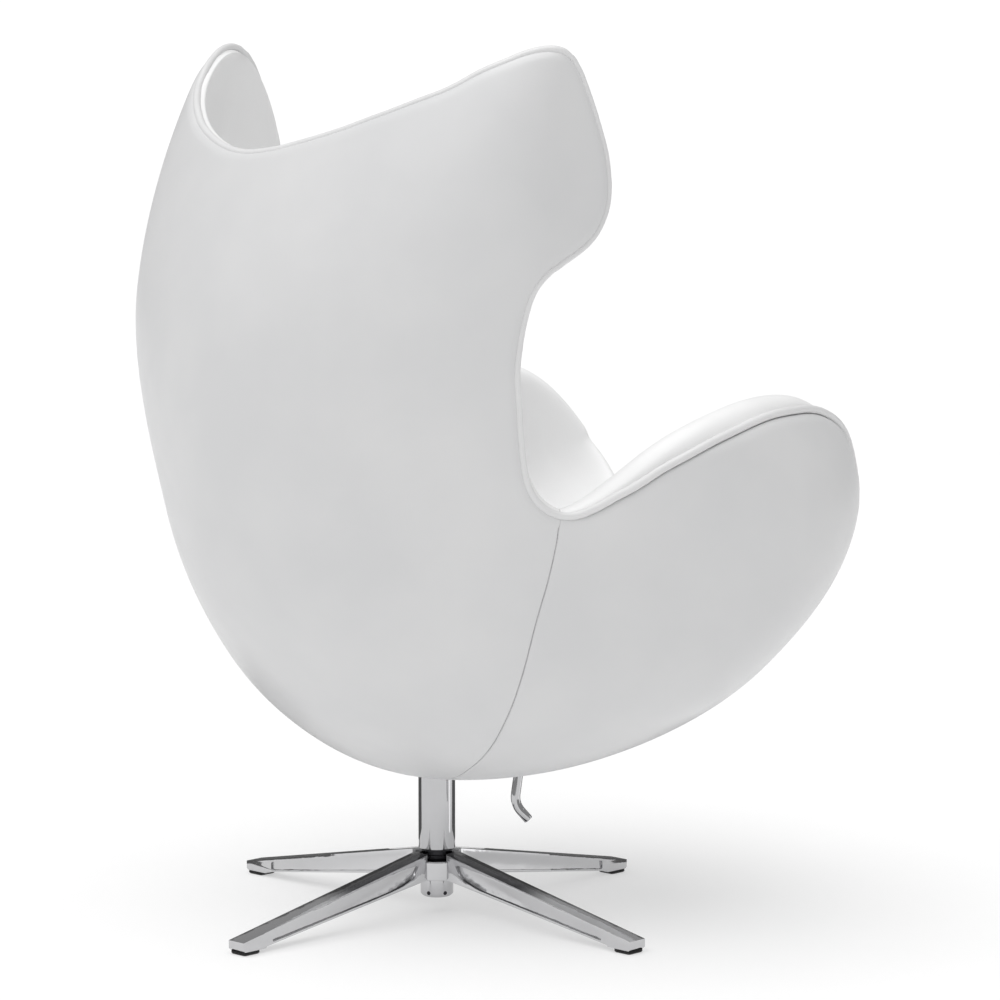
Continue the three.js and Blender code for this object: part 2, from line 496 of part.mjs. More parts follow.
// Lever: a bright rod that leans back as it comes down and is bent outward at its end.
const elbow = [LEVER.x, LEVER.y + 16.5, 150], tip = [LEVER.x - 10, LEVER.y + 1.5, 129];
const bend = [0, 0.25, 0.5, 0.75, 1].map(t => {
  const a = new THREE.Vector3(LEVER.x, LEVER.y + 14.9, 160), b = new THREE.Vector3(...elbow);
  const c = b.clone().lerp(new THREE.Vector3(...tip), 0.4);
  return a.lerp(b, t).lerp(b.clone().lerp(c, t), t).toArray();
});
const leverRod = rod([[LEVER.x, LEVER.y + 0.8, 246], ...bend, tip], LEVER.r, 14)
  .add(alongX(disc(8, LEVER.x - 6, LEVER.x + 6, 20), LEVER.y, LEVER.z))
  .subtract(alongX(disc(3.3, LEVER.x - 9, LEVER.x + 9, 16), LEVER.y, LEVER.z));
add('lever_rod', leverRod, CHROME);

// Openings in the bottom of the shell for the column and for the lever.
const slotShape = (grow, z0, z1) => {
  const y0 = -88 - grow, y1 = -47 + grow, h = 9 + grow;
  return loft([z0, z1].map(z => Array.from({ length: 16 }, (_, k) => {
    const a = 2 * Math.PI * (k + 0.5) / 16, end = Math.sin(a) > 0 ? y1 - h : y0 + h;
    return [LEVER.x + h * Math.cos(a), end + h * Math.sin(a), z];
  })));
};
const columnHole = loft([150, 215].map(z => Array.from({ length: 32 }, (_, k) => {
  const a = 2 * Math.PI * (k + 0.5) / 32, end = Math.sin(a) > 0 ? 13 : 0;
  return [27 * Math.cos(a), end + 27 * Math.sin(a), z];
})));
const well = box(-WELL.x, WELL.x, -WELL.y, WELL.y, 150, WELL.top);
const openings = columnHole.add(slotShape(2, 150, 215));

// Upholstered shell, from the outside in.
const padDepth = i => THREE.MathUtils.lerp(PAD_BACK, PAD_SEAT,
  THREE.MathUtils.smoothstep(i, SEAM_ROW - 4, SEAM_ROW + 3));
const rollAt = i => {
  const place = (i - SEAM_ROW) / SEAT_ROWS;
  if (place <= 0) return ROLL_BACK;
  const k = ROLL_ARM.findIndex(([at]) => at >= place);
  const [a, b] = [ROLL_ARM[k - 1], ROLL_ARM[k]];
  return THREE.MathUtils.mapLinear(place, a[0], b[0], a[1], b[1]);
};
const padStart = shellInner + GAP;
add('back_cover', layer(0, SEAM_ROW, 0, COVER_T).subtract(openings), LEATHER);
add('seat_cover', layer(SEAM_ROW, ROWS, 0, COVER_T).subtract(openings), LEATHER);
add('hard_shell', layer(0, ROWS, COVER_T + GAP, shellInner).subtract(openings), SHELL_GRP);
add('back_lining', layer(0, SEAM_ROW, padStart, i => padStart + padDepth(i), rollAt)
  .subtract(well), LEATHER);
add('seat_lining', layer(SEAM_ROW, ROWS, padStart, i => padStart + padDepth(i), rollAt)
  .subtract(well), LEATHER);
const foamSpace = bowl(padStart + PAD_SEAT + 3);
add('seat_base_foam', foamSpace.intersect(box(-400, 400, -450, 400, 150, CUSHION.z0 - 1.5))
  .subtract(well), FOAM);
const cushionLoops = [[0.955, 0], [1, 12], [1, 82], [0.98, 92], [0.93, CUSHION.z1 - CUSHION.z0]]
  .map(([s, h]) => Array.from({ length: 40 }, (_, k) => {
    const a = 2 * Math.PI * k / 40, e = 2 / 2.8;
    const c = Math.cos(a), d = Math.sin(a), hy = (CUSHION.y1 - CUSHION.y0) / 2;
    return [s * CUSHION.x * Math.sign(c) * Math.abs(c) ** e,
      (CUSHION.y0 + CUSHION.y1) / 2 + s * hy * Math.sign(d) * Math.abs(d) ** e, CUSHION.z0 + h];
  }));
add('seat_cushion', loft(cushionLoops).intersect(bowl(padStart + PAD_SEAT + 5)), LEATHER);

// Piping around the whole rim.
const rimLoop = [
  ...skin[0].slice(0, COLS), ...skin.slice(0, ROWS).map(row => row[COLS]),
  ...skin[ROWS].slice(1).reverse(), ...skin.slice(1).map(row => row[0]).reverse()];
const weltRings = rimLoop.map(v => Array.from({ length: WELT_SIDES }, (_, k) => {
  const a = 2 * Math.PI * k / WELT_SIDES;
  return v.at.clone().addScaledVector(v.in, WELT_R * (1 + Math.cos(a)) - 0.2)
    .addScaledVector(v.out, WELT_OUT + WELT_R * Math.sin(a)).toArray();
}));
const weltTris = [];
weltRings.forEach((_, i) => {
  for (let k = 0; k < WELT_SIDES; k++) {
    const here = i * WELT_SIDES, next = ((i + 1) % weltRings.length) * WELT_SIDES;
    const m = (k + 1) % WELT_SIDES;
    weltTris.push([here + k, next + m, here + m], [here + k, next + k, next + m]);
  }
});
add('edge_welt', weld(weltRings.flat(), weltTris), LEATHER);

// Dark bezels: around the column, and around the lever's slot.
add('lever_bezel', slotShape(1.6, 182, 214).subtract(slotShape(0, 170, 230))
  .intersect(bowl(-2)).subtract(bowl(shellInner + 4)), BLACK);

export default chair;
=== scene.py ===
"""Swivel lounge chair: fine surfaces, materials, floor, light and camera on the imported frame."""
import json
import math

import bmesh
import bpy
import numpy as np
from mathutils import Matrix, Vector, kdtree


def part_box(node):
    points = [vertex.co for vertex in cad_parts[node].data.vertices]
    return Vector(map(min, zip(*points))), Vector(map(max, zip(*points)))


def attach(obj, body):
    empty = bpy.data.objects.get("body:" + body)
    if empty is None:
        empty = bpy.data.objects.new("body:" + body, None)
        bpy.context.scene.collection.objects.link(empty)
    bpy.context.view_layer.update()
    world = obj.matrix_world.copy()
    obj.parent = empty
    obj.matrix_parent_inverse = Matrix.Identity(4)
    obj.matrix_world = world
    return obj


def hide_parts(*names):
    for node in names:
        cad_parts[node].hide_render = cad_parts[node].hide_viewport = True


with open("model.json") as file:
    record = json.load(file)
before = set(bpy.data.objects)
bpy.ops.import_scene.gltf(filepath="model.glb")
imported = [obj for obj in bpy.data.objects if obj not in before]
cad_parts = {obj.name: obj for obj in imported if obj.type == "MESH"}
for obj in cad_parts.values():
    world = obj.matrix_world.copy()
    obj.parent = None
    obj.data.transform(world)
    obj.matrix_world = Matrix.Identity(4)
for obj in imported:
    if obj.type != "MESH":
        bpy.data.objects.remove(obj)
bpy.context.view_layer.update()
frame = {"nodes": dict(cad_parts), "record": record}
scene = bpy.context.scene

MM = 0.001
COLUMN = sum(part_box("column_tube"), Vector()) / 2  # the column axis stands at COLUMN.x, COLUMN.y
COLUMN_Y = COLUMN.y / MM


def link_object(name, data):
    thing = bpy.data.objects.new(name, data)
    scene.collection.objects.link(thing)
    return thing


# --- camera
CAMERA_TURN, CAMERA_AWAY, CAMERA_Z = math.radians(237), 5.012, 1.1204
CAMERA_PITCH, CAMERA_YAW, FOCAL_PX = 0.11763, 0.01605, 4001
SENSOR_MM, IMAGE_PX = 36, 1000
scene.camera = camera = link_object("camera", bpy.data.cameras.new("camera"))
camera.data.sensor_width = SENSOR_MM
camera.data.lens = SENSOR_MM * FOCAL_PX / IMAGE_PX
depth = Vector((-math.sin(CAMERA_TURN), math.cos(CAMERA_TURN), 0))
across = Vector((depth.y, -depth.x, 0))
camera.location = Vector((COLUMN.x, COLUMN.y, CAMERA_Z)) - CAMERA_AWAY * depth
level = math.cos(CAMERA_YAW) * depth + math.sin(CAMERA_YAW) * across
ahead = math.cos(CAMERA_PITCH) * level - math.sin(CAMERA_PITCH) * Vector((0, 0, 1))
camera.rotation_mode = "QUATERNION"
camera.rotation_quaternion = ahead.to_track_quat("-Z", "Y")
camera.data.clip_start, camera.data.clip_end = 0.1, 60


# --- materials
NOISE_RANGE = (0.3, 0.7)         # noise hardly ever leaves this range


def put(some_node, **values):
    """Sets a node: a keyword is an attribute, or an input socket where there is none such."""
    for key, value in values.items():
        if hasattr(some_node, key):
            setattr(some_node, key, value)
        else:
            some_node.inputs[key.replace("_", " ")].default_value = value
    return some_node


def node(mat, kind, **values):
    return put(mat.node_tree.nodes.new(kind), **values)


def new_material(name, color, roughness, metallic=0.0):
    mat = bpy.data.materials.new(name)
    mat.use_nodes = True
    shader = mat.node_tree.nodes["Principled BSDF"]
    return mat, put(shader, Base_Color=(*color, 1), Roughness=roughness, Metallic=metallic)


def link(mat, source, target):
    mat.node_tree.links.new(source, target)


def object_place(mat, scale=(1, 1, 1)):
    where, mapping = node(mat, "ShaderNodeTexCoord"), node(mat, "ShaderNodeMapping", Scale=scale)
    link(mat, where.outputs["Object"], mapping.inputs["Vector"])
    return mapping.outputs["Vector"]


def texture(mat, kind, place, **values):
    """A texture node that is laid out in the object's own space."""
    pattern = node(mat, "ShaderNodeTex" + kind, **values)
    link(mat, place, pattern.inputs["Vector"])
    return pattern


def map_range(mat, source, from_range, to_range, **values):
    """The source's value, mapped from one range to another."""
    span = node(mat, "ShaderNodeMapRange", From_Min=from_range[0], From_Max=from_range[1],
                To_Min=to_range[0], To_Max=to_range[1], **values)
    link(mat, source, span.inputs["Value"])
    return span.outputs["Result"]


def vary_color(mat, shader, place, scale, low, high, detail=3.0):
    noise = texture(mat, "Noise", place, Scale=scale, Detail=detail)
    ramp = node(mat, "ShaderNodeValToRGB")
    for stop, place_on_ramp, color in zip(ramp.color_ramp.elements, NOISE_RANGE, (low, high)):
        stop.position, stop.color = place_on_ramp, (*color, 1)
    link(mat, noise.outputs["Fac"], ramp.inputs["Fac"])
    link(mat, ramp.outputs["Color"], shader.inputs["Base Color"])


def vary_roughness(mat, shader, place, scale, low, high):
    noise = texture(mat, "Noise", place, Scale=scale, Detail=4.0)
    link(mat, map_range(mat, noise.outputs["Fac"], NOISE_RANGE, (low, high)),
         shader.inputs["Roughness"])


def add_bump(mat, shader, height, strength, distance):
    bump = node(mat, "ShaderNodeBump", Strength=strength, Distance=distance)
    link(mat, height, bump.inputs["Height"])
    if shader.inputs["Normal"].links:
        link(mat, shader.inputs["Normal"].links[0].from_socket, bump.inputs["Normal"])
    link(mat, bump.outputs["Normal"], shader.inputs["Normal"])


def leather(name, low, high, rough):
    """Smooth coated leather: fine cells of grain, faint long creases and slow changes of tone."""
    mat, shader = new_material(name, high, rough)
    place = object_place(mat)
    vary_color(mat, shader, place, 7, low, high)
    vary_roughness(mat, shader, place, 30, rough - 0.05, rough + 0.06)
    grain = texture(mat, "Voronoi", place, feature="SMOOTH_F1", Scale=900.0)
    creases = texture(mat, "Noise", place, Scale=26.0, Detail=6.0, Distortion=0.6)
    add_bump(mat, shader, grain.outputs["Distance"], 0.16, 0.0003)
    add_bump(mat, shader, creases.outputs["Fac"], 0.05, 0.003)
    put(shader, Coat_Weight=0.12, Coat_Roughness=0.3)
    return mat


def polished(name, color, rough, waviness):
    """Bright metal with a faint unevenness from polishing and hairline marks."""
    mat, shader = new_material(name, color, rough, 1.0)
    place = object_place(mat)
    vary_color(mat, shader, place, 12, [c * 0.94 for c in color], color)
    vary_roughness(mat, shader, place, 45, rough * 0.7, rough * 1.5)
    waves = texture(mat, "Noise", place, Scale=38.0, Detail=2.0)
    marks = texture(mat, "Noise", place, Scale=420.0, Detail=3.0)
    add_bump(mat, shader, waves.outputs["Fac"], waviness, 0.004)
    add_bump(mat, shader, marks.outputs["Fac"], 0.02, 0.0004)
    return mat


HUB_SHADE_REACH, LEG_TOP_NORMAL = (0.15, 0.21), (0.75, 0.93)


def shade_leg_tops(mat):
    """Painted shade and painted dark reflection on the casting: the upward faces darken towards the
    hub, where no light gets in.
    """
    shader = mat.node_tree.nodes["Principled BSDF"]
    bright = shader.inputs["Base Color"].links[0].from_socket
    where = node(mat, "ShaderNodeTexCoord")
    centred = node(mat, "ShaderNodeVectorMath", operation="SUBTRACT")
    centred.inputs[1].default_value = (COLUMN.x, COLUMN.y, 0)
    flat = node(mat, "ShaderNodeVectorMath", operation="MULTIPLY")
    flat.inputs[1].default_value = (1, 1, 0)
    reach = node(mat, "ShaderNodeVectorMath", operation="LENGTH")
    axes = node(mat, "ShaderNodeSeparateXYZ")
    amount = node(mat, "ShaderNodeMath", operation="MULTIPLY")
    mixed = node(mat, "ShaderNodeMix", data_type="RGBA")
    plain, painted_shade_color = [i for i in mixed.inputs if i.type == "RGBA"]
    # painted shade: a near-black colour painted on the upward faces near the hub
    painted_shade_color.default_value = (0.05, 0.05, 0.055, 1)
    link(mat, where.outputs["Object"], centred.inputs[0])
    link(mat, centred.outputs[0], flat.inputs[0])
    link(mat, flat.outputs[0], reach.inputs[0])
    link(mat, where.outputs["Normal"], axes.inputs[0])
    link(mat, map_range(mat, reach.outputs["Value"], HUB_SHADE_REACH, (1, 0),
                        interpolation_type="SMOOTHSTEP"), amount.inputs[0])
    link(mat, map_range(mat, axes.outputs["Z"], LEG_TOP_NORMAL, (0, 1),
                        interpolation_type="SMOOTHSTEP"), amount.inputs[1])
    link(mat, amount.outputs[0], mixed.inputs["Factor"])
    link(mat, bright, plain)
    link(mat, [o for o in mixed.outputs if o.type == "RGBA"][0], shader.inputs["Base Color"])


def grainy(name, color, rough, metallic=0.0, scale=260.0, strength=0.25, distance=0.0004):
    """Cast, moulded or foamed surface: a fine even grain with small changes of tone and gloss."""
    mat, shader = new_material(name, color, rough, metallic)
    place = object_place(mat)
    vary_color(mat, shader, place, 60, [c * 0.8 for c in color], color)
    vary_roughness(mat, shader, place, 120, rough - 0.06, min(rough + 0.08, 1))
    pits = texture(mat, "Voronoi", place, Scale=scale)
    add_bump(mat, shader, pits.outputs["Distance"], strength, distance)
    return mat


def plywood(name):
    mat, shader = new_material(name, (0.55, 0.38, 0.2), 0.7)
    place = object_place(mat, (1, 1, 9))
    vary_color(mat, shader, place, 42, (0.42, 0.27, 0.13), (0.66, 0.48, 0.28), 8.0)
    layers = texture(mat, "Wave", place, bands_direction="Z", Scale=12.0, Distortion=1.5)
    add_bump(mat, shader, layers.outputs["Fac"], 0.3, 0.0004)
    return mat


# One white leather in two tones: the outer cover is painted darker (painted shade) and the lining
# is painted lighter (painted light).
OUTER_LEATHER_PAINTED_SHADE = leather("white_leather_painted_shade", (0.69, 0.692, 0.698), (0.73, 0.73, 0.733), 0.42)
PAD_LEATHER_PAINTED_LIGHT = leather("white_pad_leather_painted_light", (0.90, 0.90, 0.90), (0.93, 0.93, 0.93), 0.42)
SEAT_LEATHER = leather("white_seat_leather", (0.74, 0.74, 0.742), (0.79, 0.79, 0.792), 0.42)
CHROME = polished("bright_chrome", (0.52, 0.52, 0.53), 0.06, 0.02)
CAST = polished("polished_casting", (0.60, 0.60, 0.61), 0.10, 0.22)
# painted shade and painted dark reflection on the casting's upward faces near the hub
shade_leg_tops(CAST)
STEEL = polished("plain_steel", (0.45, 0.45, 0.46), 0.35, 0.05)
DARK = grainy("dark_steel", (0.035, 0.035, 0.04), 0.4, 0.7)
BLACK = grainy("black_plastic", (0.012, 0.012, 0.012), 0.5)
RUBBER = grainy("black_rubber", (0.015, 0.015, 0.015), 0.75, 0, 700.0)
NYLON = grainy("natural_nylon", (0.6, 0.58, 0.52), 0.45, 0, 500.0, 0.1)
MOULDED = grainy("moulded_fibre", (0.38, 0.4, 0.36), 0.6, 0, 160.0, 0.4, 0.0008)
FOAM = grainy("open_foam", (0.8, 0.72, 0.45), 0.95, 0, 330.0, 0.8, 0.001)
PLY = plywood("plywood")
THREAD = grainy("sewing_thread", (0.55, 0.55, 0.56), 0.7, 0, 2400.0, 0.5, 0.0002)

SLOT_MATERIAL = {"leather": OUTER_LEATHER_PAINTED_SHADE, "padded_leather": PAD_LEATHER_PAINTED_LIGHT, "bright_metal": CHROME,
                 "cast_metal": CAST, "steel": STEEL, "dark_metal": DARK, "black_plastic": BLACK,
                 "black_rubber": RUBBER, "nylon": NYLON, "moulded_shell": MOULDED, "foam": FOAM,
                 "plywood": PLY}
for part in frame["record"]["subparts"]:
    for material_slot in frame["nodes"][part["node"]].material_slots:
        material_slot.material = SLOT_MATERIAL[part["material_slot"]]


# --- mesh helpers
def plain_solid(name, verts, faces, axis_y=COLUMN_Y):
    """A closed mesh from points in millimetres, drawn about the column axis."""
    mesh = bpy.data.meshes.new(name)
    mesh.from_pydata(((np.asarray(verts, float) + [0, axis_y, 0]) * MM).tolist(), [],
                     [list(map(int, f)) for f in faces])
    tidy = bmesh.new()
    tidy.from_mesh(mesh)
    bmesh.ops.remove_doubles(tidy, verts=tidy.verts, dist=1e-6)
    bmesh.ops.recalc_face_normals(tidy, faces=tidy.faces)
    tidy.to_mesh(mesh)
    tidy.free()
    return link_object(name, mesh)


def make_object(name, verts, faces, mat, body, slot, replaces=(), sharp=40, **more):
    """A finished piece from points in millimetres."""
    piece = plain_solid(name, verts, faces, **more)
    piece.data.shade_smooth()
    piece.data.set_sharp_from_angle(angle=math.radians(sharp))
    piece.data.materials.append(mat)
    settle(piece, body, replaces)
    return piece


def settle(piece, body, replaces=()):
    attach(piece, body)
    if replaces:
        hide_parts(*replaces)


def apply_modifiers(piece, sharp=None):
    """Bakes the modifiers into the mesh."""
    graph = bpy.context.evaluated_depsgraph_get()
    mesh = bpy.data.meshes.new_from_object(piece.evaluated_get(graph))
    piece.modifiers.clear()
    piece.data = mesh
    mesh.shade_smooth()
    if sharp:
        mesh.set_sharp_from_angle(angle=math.radians(sharp))


def modify(piece, kind, sharp=None, **values):
    """Adds a modifier and bakes it in."""
    modifier = piece.modifiers.new(kind.lower(), kind)
    for key, value in values.items():
        setattr(modifier, key, value)
    apply_modifiers(piece, sharp)


def combine(piece, other, operation, sharp=40):
    """Joins a scratch solid to the piece, or cuts it out."""
    modify(piece, "BOOLEAN", sharp, operation=operation, solver="EXACT", object=other)
    bpy.data.objects.remove(other)


def stacked(loops):
    """Closed solid through equal loops of points, capped at the first and the last."""
    m, n = len(loops), len(loops[0])
    faces = [(i * n + j, i * n + (j + 1) % n, (i + 1) * n + (j + 1) % n, (i + 1) * n + j)
             for i in range(m - 1) for j in range(n)]
    caps = [tuple(range(n))[::-1], tuple((m - 1) * n + j for j in range(n))]
    return [point for loop in loops for point in loop], faces + caps


def prism(outline, z0, z1):
    """Upright solid on a list of (x, y)."""
    return stacked([[(x, y, z) for x, y in outline] for z in (z0, z1)])


def side_extrusion(outline, y0, y1):
    """Closed solid from an outline of (x, z) between two values of y."""
    return stacked([[(x, y, z) for x, z in outline] for y in (y0, y1)])


def circle(radius, steps):
    return [(radius * math.cos(a), radius * math.sin(a))
            for a in np.linspace(0, 2 * math.pi, steps + 1)[:-1]]


def stadium(cx, y0, y1, r, steps):
    """Outline of an upright slot: two half circles of radius r about (cx, y0) and (cx, y1)."""
    turns = [2 * math.pi * (k + 0.5) / steps for k in range(steps)]
    return [(cx + r * math.cos(a), (y1 if math.sin(a) > 0 else y0) + r * math.sin(a))
            for a in turns]


def lathe_solid(profile, segments):
    """Turned solid from a list of (radius, z), closed on the axis if the profile starts there."""
    n, verts, faces = len(profile), [], []
    on_axis = profile[0][0] < 0.1
    for k in range(segments):
        a = 2 * math.pi * k / segments
        verts += [(r * math.cos(a), r * math.sin(a), z) for r, z in profile]
    for k in range(segments):
        here, there = k * n, (k + 1) % segments * n
        faces += [(here + i, here + (i + 1) % n, there + (i + 1) % n, there + i)
                  for i in range(n - 1 if on_axis else n)]
    if on_axis:
        faces += [tuple(k * n for k in range(segments))[::-1],
                  tuple(k * n + n - 1 for k in range(segments))]
    return verts, faces


def rounded(points, radius, steps=4):
    """A closed outline with each corner replaced by an arc-like curve; radius may be a list."""
    out, n = [], len(points)
    for i, point in enumerate(points):
        r = radius[i] if isinstance(radius, (list, tuple)) else radius
        p, a, b = (np.array(points[k], float) for k in (i, i - 1, (i + 1) % n))
        if r <= 0:
            out.append(tuple(p))
            continue
        la, lb = np.linalg.norm(a - p), np.linalg.norm(b - p)
        start, end = p + (a - p) * min(r / la, 0.48), p + (b - p) * min(r / lb, 0.48)
        for t in np.linspace(0, 1, steps + 1):
            out.append(tuple((1 - t) ** 2 * start + 2 * t * (1 - t) * p + t * t * end))
    return out


def tube(path, radii, sides=20, closed=False, up=(1, 0, 0)):
    """Vertices and faces of a round tube along a path, carried with a steady frame."""
    path = np.asarray(path, float)
    n = len(path)
    verts, faces, side, frames = [], [], np.array(up, float), []
    for i in range(n + 1 if closed else n):
        before = path[(i - 1) % n] if closed or i else path[0]
        after = path[(i + 1) % n] if closed or i < n - 1 else path[-1]
        along = after - before
        along /= np.linalg.norm(along) + 1e-12
        side = side - along * side.dot(along)
        side /= np.linalg.norm(side)
        frames.append((side, np.cross(along, side)))
    twist = 0.0          # a closed path takes up its twist evenly
    if closed:
        twist = math.atan2(frames[0][1].dot(frames[-1][0]), frames[0][0].dot(frames[-1][0]))
    for i, (side, other) in enumerate(frames[:n]):
        for k in range(sides):
            a = 2 * math.pi * k / sides - twist * i / n
            verts.append(path[i] + radii[i] * (side * math.cos(a) + other * math.sin(a)))
    for i in range(n if closed else n - 1):
        j = (i + 1) % n
        for k in range(sides):
            m = (k + 1) % sides
            faces.append((i * sides + k, i * sides + m, j * sides + m, j * sides + k))
    if not closed:
        faces += [tuple(range(sides)), tuple((n - 1) * sides + k for k in range(sides))]
    return verts, faces


# --- shell surface
SHELL_BOTTOM, SHELL_SPAN, KNOT = 178, 962, 0.2
HALF_WIDTH = [0, 215, 362, 418, 396, 380]
REAR_REACH = [5, 131, 253, 344, 350, 180]
WIDEST_AT = [5, -65, -165, -230, 75, 35]
FRONT_REACH = [5, -211, -400, -533]
RIM_BACK = [(0, 971.8), (55.3, 976.3), (110.4, 987), (164.2, 1000.6), (216.2, 1018.2),
            (266.9, 1037.6), (313.7, 1062), (334.2, 1076)]
RIM_WING = [(121.1, 1086.3), (107, 1092.2), (93.6, 1095.3), (81.1, 1095.5), (69.8, 1092.9),
            (59.2, 1086.3), (49.3, 1075.6), (40.7, 1060.2), (24.2, 1020.5), (9.4, 975.8),
            (5.9, 953.5), (5, 932.3), (8.2, 913)]
RIM_SIDE = [(15.8, 896.1), (26.3, 881.7), (39.9, 869.9), (72.1, 851.8), (87.9, 843.4),
            (101.8, 834), (112.9, 822.8), (121, 809.1), (126.6, 792.7), (133.4, 754.6),
            (133.2, 712.4), (121.4, 647.5), (111.7, 607), (105.8, 589.1), (98.2, 573.6),
            (88.6, 561.2), (77, 551.9), (64.3, 545.8)]
RIM_ARM = [(50.9, 543.4), (36.9, 544.9), (22.5, 550.2), (-8.9, 567.1), (-60.9, 596.8),
           (-117.3, 620.9), (-176.1, 638.9), (-238, 651), (-301.5, 652.7), (-340.6, 647.7),
           (-373.6, 635.7), (-387, 627.9), (-397.8, 618.7), (-405.9, 607.5)]
RIM_FRONT = [(326.1, 593.7), (326.5, 577.7), (325.4, 560.8), (320.7, 544.1), (311.6, 528.6),
             (298.9, 514.4), (267.4, 489), (217.2, 455.4), (167.1, 427.9), (113.9, 409.2),
             (57.5, 399.6), (0, 396.7)]
SEAM_SIDE = [(60, 222), (73, 290), (77, 350), (73.5, 425), (65, 490)]
SEAM_V = 0.045


def hermite(f, start, end, start_slope, end_slope):
    return ((2 * f**3 - 3 * f * f + 1) * start + (f**3 - 2 * f * f + f) * start_slope
            + (3 * f * f - 2 * f**3) * end + (f**3 - f * f) * end_slope)


def knots(values):
    """Smooth function of u through values spaced KNOT apart."""
    v = np.array(values, float)
    slope = np.gradient(v)
    slope[0] = -1.5 * v[0] + 2 * v[1] - 0.5 * v[2]
    slope[-1] = 1.5 * v[-1] - 2 * v[-2] + 0.5 * v[-3]

    def at(u):
        t = np.asarray(u, float) / KNOT
        i = np.clip(np.floor(t).astype(int), 0, len(v) - 2)
        f = t - i
        return hermite(f, v[i], v[i + 1], slope[i], slope[i + 1])
    return at


half_width, rear, widest, front_curve = map(knots, (HALF_WIDTH, REAR_REACH, WIDEST_AT, FRONT_REACH))
FRONT_END = KNOT * (len(FRONT_REACH) - 1)
FRONT_SLOPE = float(front_curve(FRONT_END) - front_curve(FRONT_END - 1e-4)) / 1e-4


def front(u):
    u = np.asarray(u, float)
    return np.where(u < FRONT_END, front_curve(np.minimum(u, FRONT_END)),
                    front_curve(FRONT_END) + FRONT_SLOPE * (u - FRONT_END))


def middle(u):
    return np.minimum(widest(u), rear(u) - 12)


def outer(pattern):
    """Shell surface in millimetres for flat pattern points (p, q)."""
    p, q = pattern[..., 0], pattern[..., 1]
    u = np.hypot(p, q) + 1e-9
    c, s, m = p / u, q / u, middle(u)
    y = m + s * np.where(s > 0, rear(u) - m, m - front(u))
    return np.stack([half_width(u) * c, y, SHELL_BOTTOM + SHELL_SPAN * u * u], -1)


def slopes(pattern, e=1e-4):
    dp, dq = np.array([e, 0]), np.array([0, e])
    return ((outer(pattern + dp) - outer(pattern - dp)) / (2 * e),
            (outer(pattern + dq) - outer(pattern - dq)) / (2 * e))


def unit(vectors):
    return vectors / np.linalg.norm(vectors, axis=-1, keepdims=True)


def inward(pattern):
    return unit(np.cross(*slopes(pattern, 1e-3)))


def from_side(point):
    """Pattern point for (y, z) seen from the side."""
    y, z = point
    u = math.sqrt((z - SHELL_BOTTOM) / SHELL_SPAN)
    m, back, ahead_of = float(middle(u)), float(rear(u)), float(front(u))
    s = min(1, max(-1, (y - m) / (back - m) if y > m else (y - m) / (m - ahead_of)))
    return [u * math.sqrt(1 - s * s), u * s]


def from_end(point, sign):
    """Pattern point for (x, z) seen from the front (sign -1) or the back (1)."""
    x, z = point
    u = math.sqrt((z - SHELL_BOTTOM) / SHELL_SPAN)
    c = min(x / float(half_width(u)), 1)
    return [u * c, sign * u * math.sqrt(1 - c * c)]


def curve_through(points):
    """Centripetal curve through pattern points; its parameter counts the points."""
    pts = np.array(points, float)
    pts = np.vstack([2 * pts[0] - pts[1], pts, 2 * pts[-1] - pts[-2]])

    def at(t):
        t = np.atleast_1d(np.asarray(t, float))
        i = np.clip(np.floor(t).astype(int), 0, len(points) - 2)
        f = (t - i)[:, None]
        p0, p1, p2, p3 = (pts[i + k] for k in range(4))
        d0, d1, d2 = (np.maximum(np.linalg.norm(b - a, axis=1)[:, None] ** 0.5, 1e-6)
                      for a, b in ((p0, p1), (p1, p2), (p2, p3)))
        t1 = ((p1 - p0) / d0 - (p2 - p0) / (d0 + d1) + (p2 - p1) / d1) * d1
        t2 = ((p2 - p1) / d1 - (p3 - p1) / (d1 + d2) + (p3 - p2) / d2) * d1
        return hermite(f, p1, p2, t1, t2)
    return at


def evenly(curve, start, end, steps):
    """Parameters that cut a curve into equal lengths on the shell."""
    dense = np.linspace(start, end, int(60 * abs(end - start)) + 1)
    spots = outer(curve(dense))
    length = np.r_[0, np.cumsum(np.linalg.norm(np.diff(spots, axis=0), axis=1))]
    return np.interp(np.linspace(0, length[-1], steps + 1), length, dense)


MIRROR = np.array([-1, 1])
rim_points = ([from_end(a, 1) for a in RIM_BACK]
              + [from_side(a) for a in RIM_WING + RIM_SIDE + RIM_ARM]
              + [from_end(a, -1) for a in RIM_FRONT])
rim_curve = curve_through([rim_points[1] * MIRROR, *rim_points, rim_points[-2] * MIRROR])
AT_WING = len(RIM_BACK) + len(RIM_WING)
AT_NOTCH = AT_WING + len(RIM_SIDE) + 0.25      # the seam meets the rim here
AT_ARM_END = AT_WING + len(RIM_SIDE) + len(RIM_ARM)
AT_FRONT = len(rim_points)

# The grid: rows from the top rim over the seam to the front rim, columns out from the middle.
HALF_COLS, BACK_ROWS, SEAT_ROWS = 48, 56, 48
INSET = 14.0                                # the grid ends this far inside the rim
RINGS = [11.5, 9.2, 7.4, 5.8, 4.3, 3, 1.9, 1, 0.35, 0]  # loops between the grid and the rim


def direction_on_shell(pattern, vector):
    """Pattern step that moves the surface point by the vector's part along the surface."""
    dp, dq = slopes(pattern)
    a, b, c = (dp * dp).sum(-1), (dp * dq).sum(-1), (dq * dq).sum(-1)
    e, f = (dp * vector).sum(-1), (dq * vector).sum(-1)
    det = a * c - b * b
    return np.stack([(c * e - b * f) / det, (a * f - b * e) / det], -1)


def outward(t, e=1e-3):
    """Direction along the shell and away from it at the rim."""
    along = outer(rim_curve(t + e)) - outer(rim_curve(t - e))
    return unit(np.cross(inward(rim_curve(t)), along))


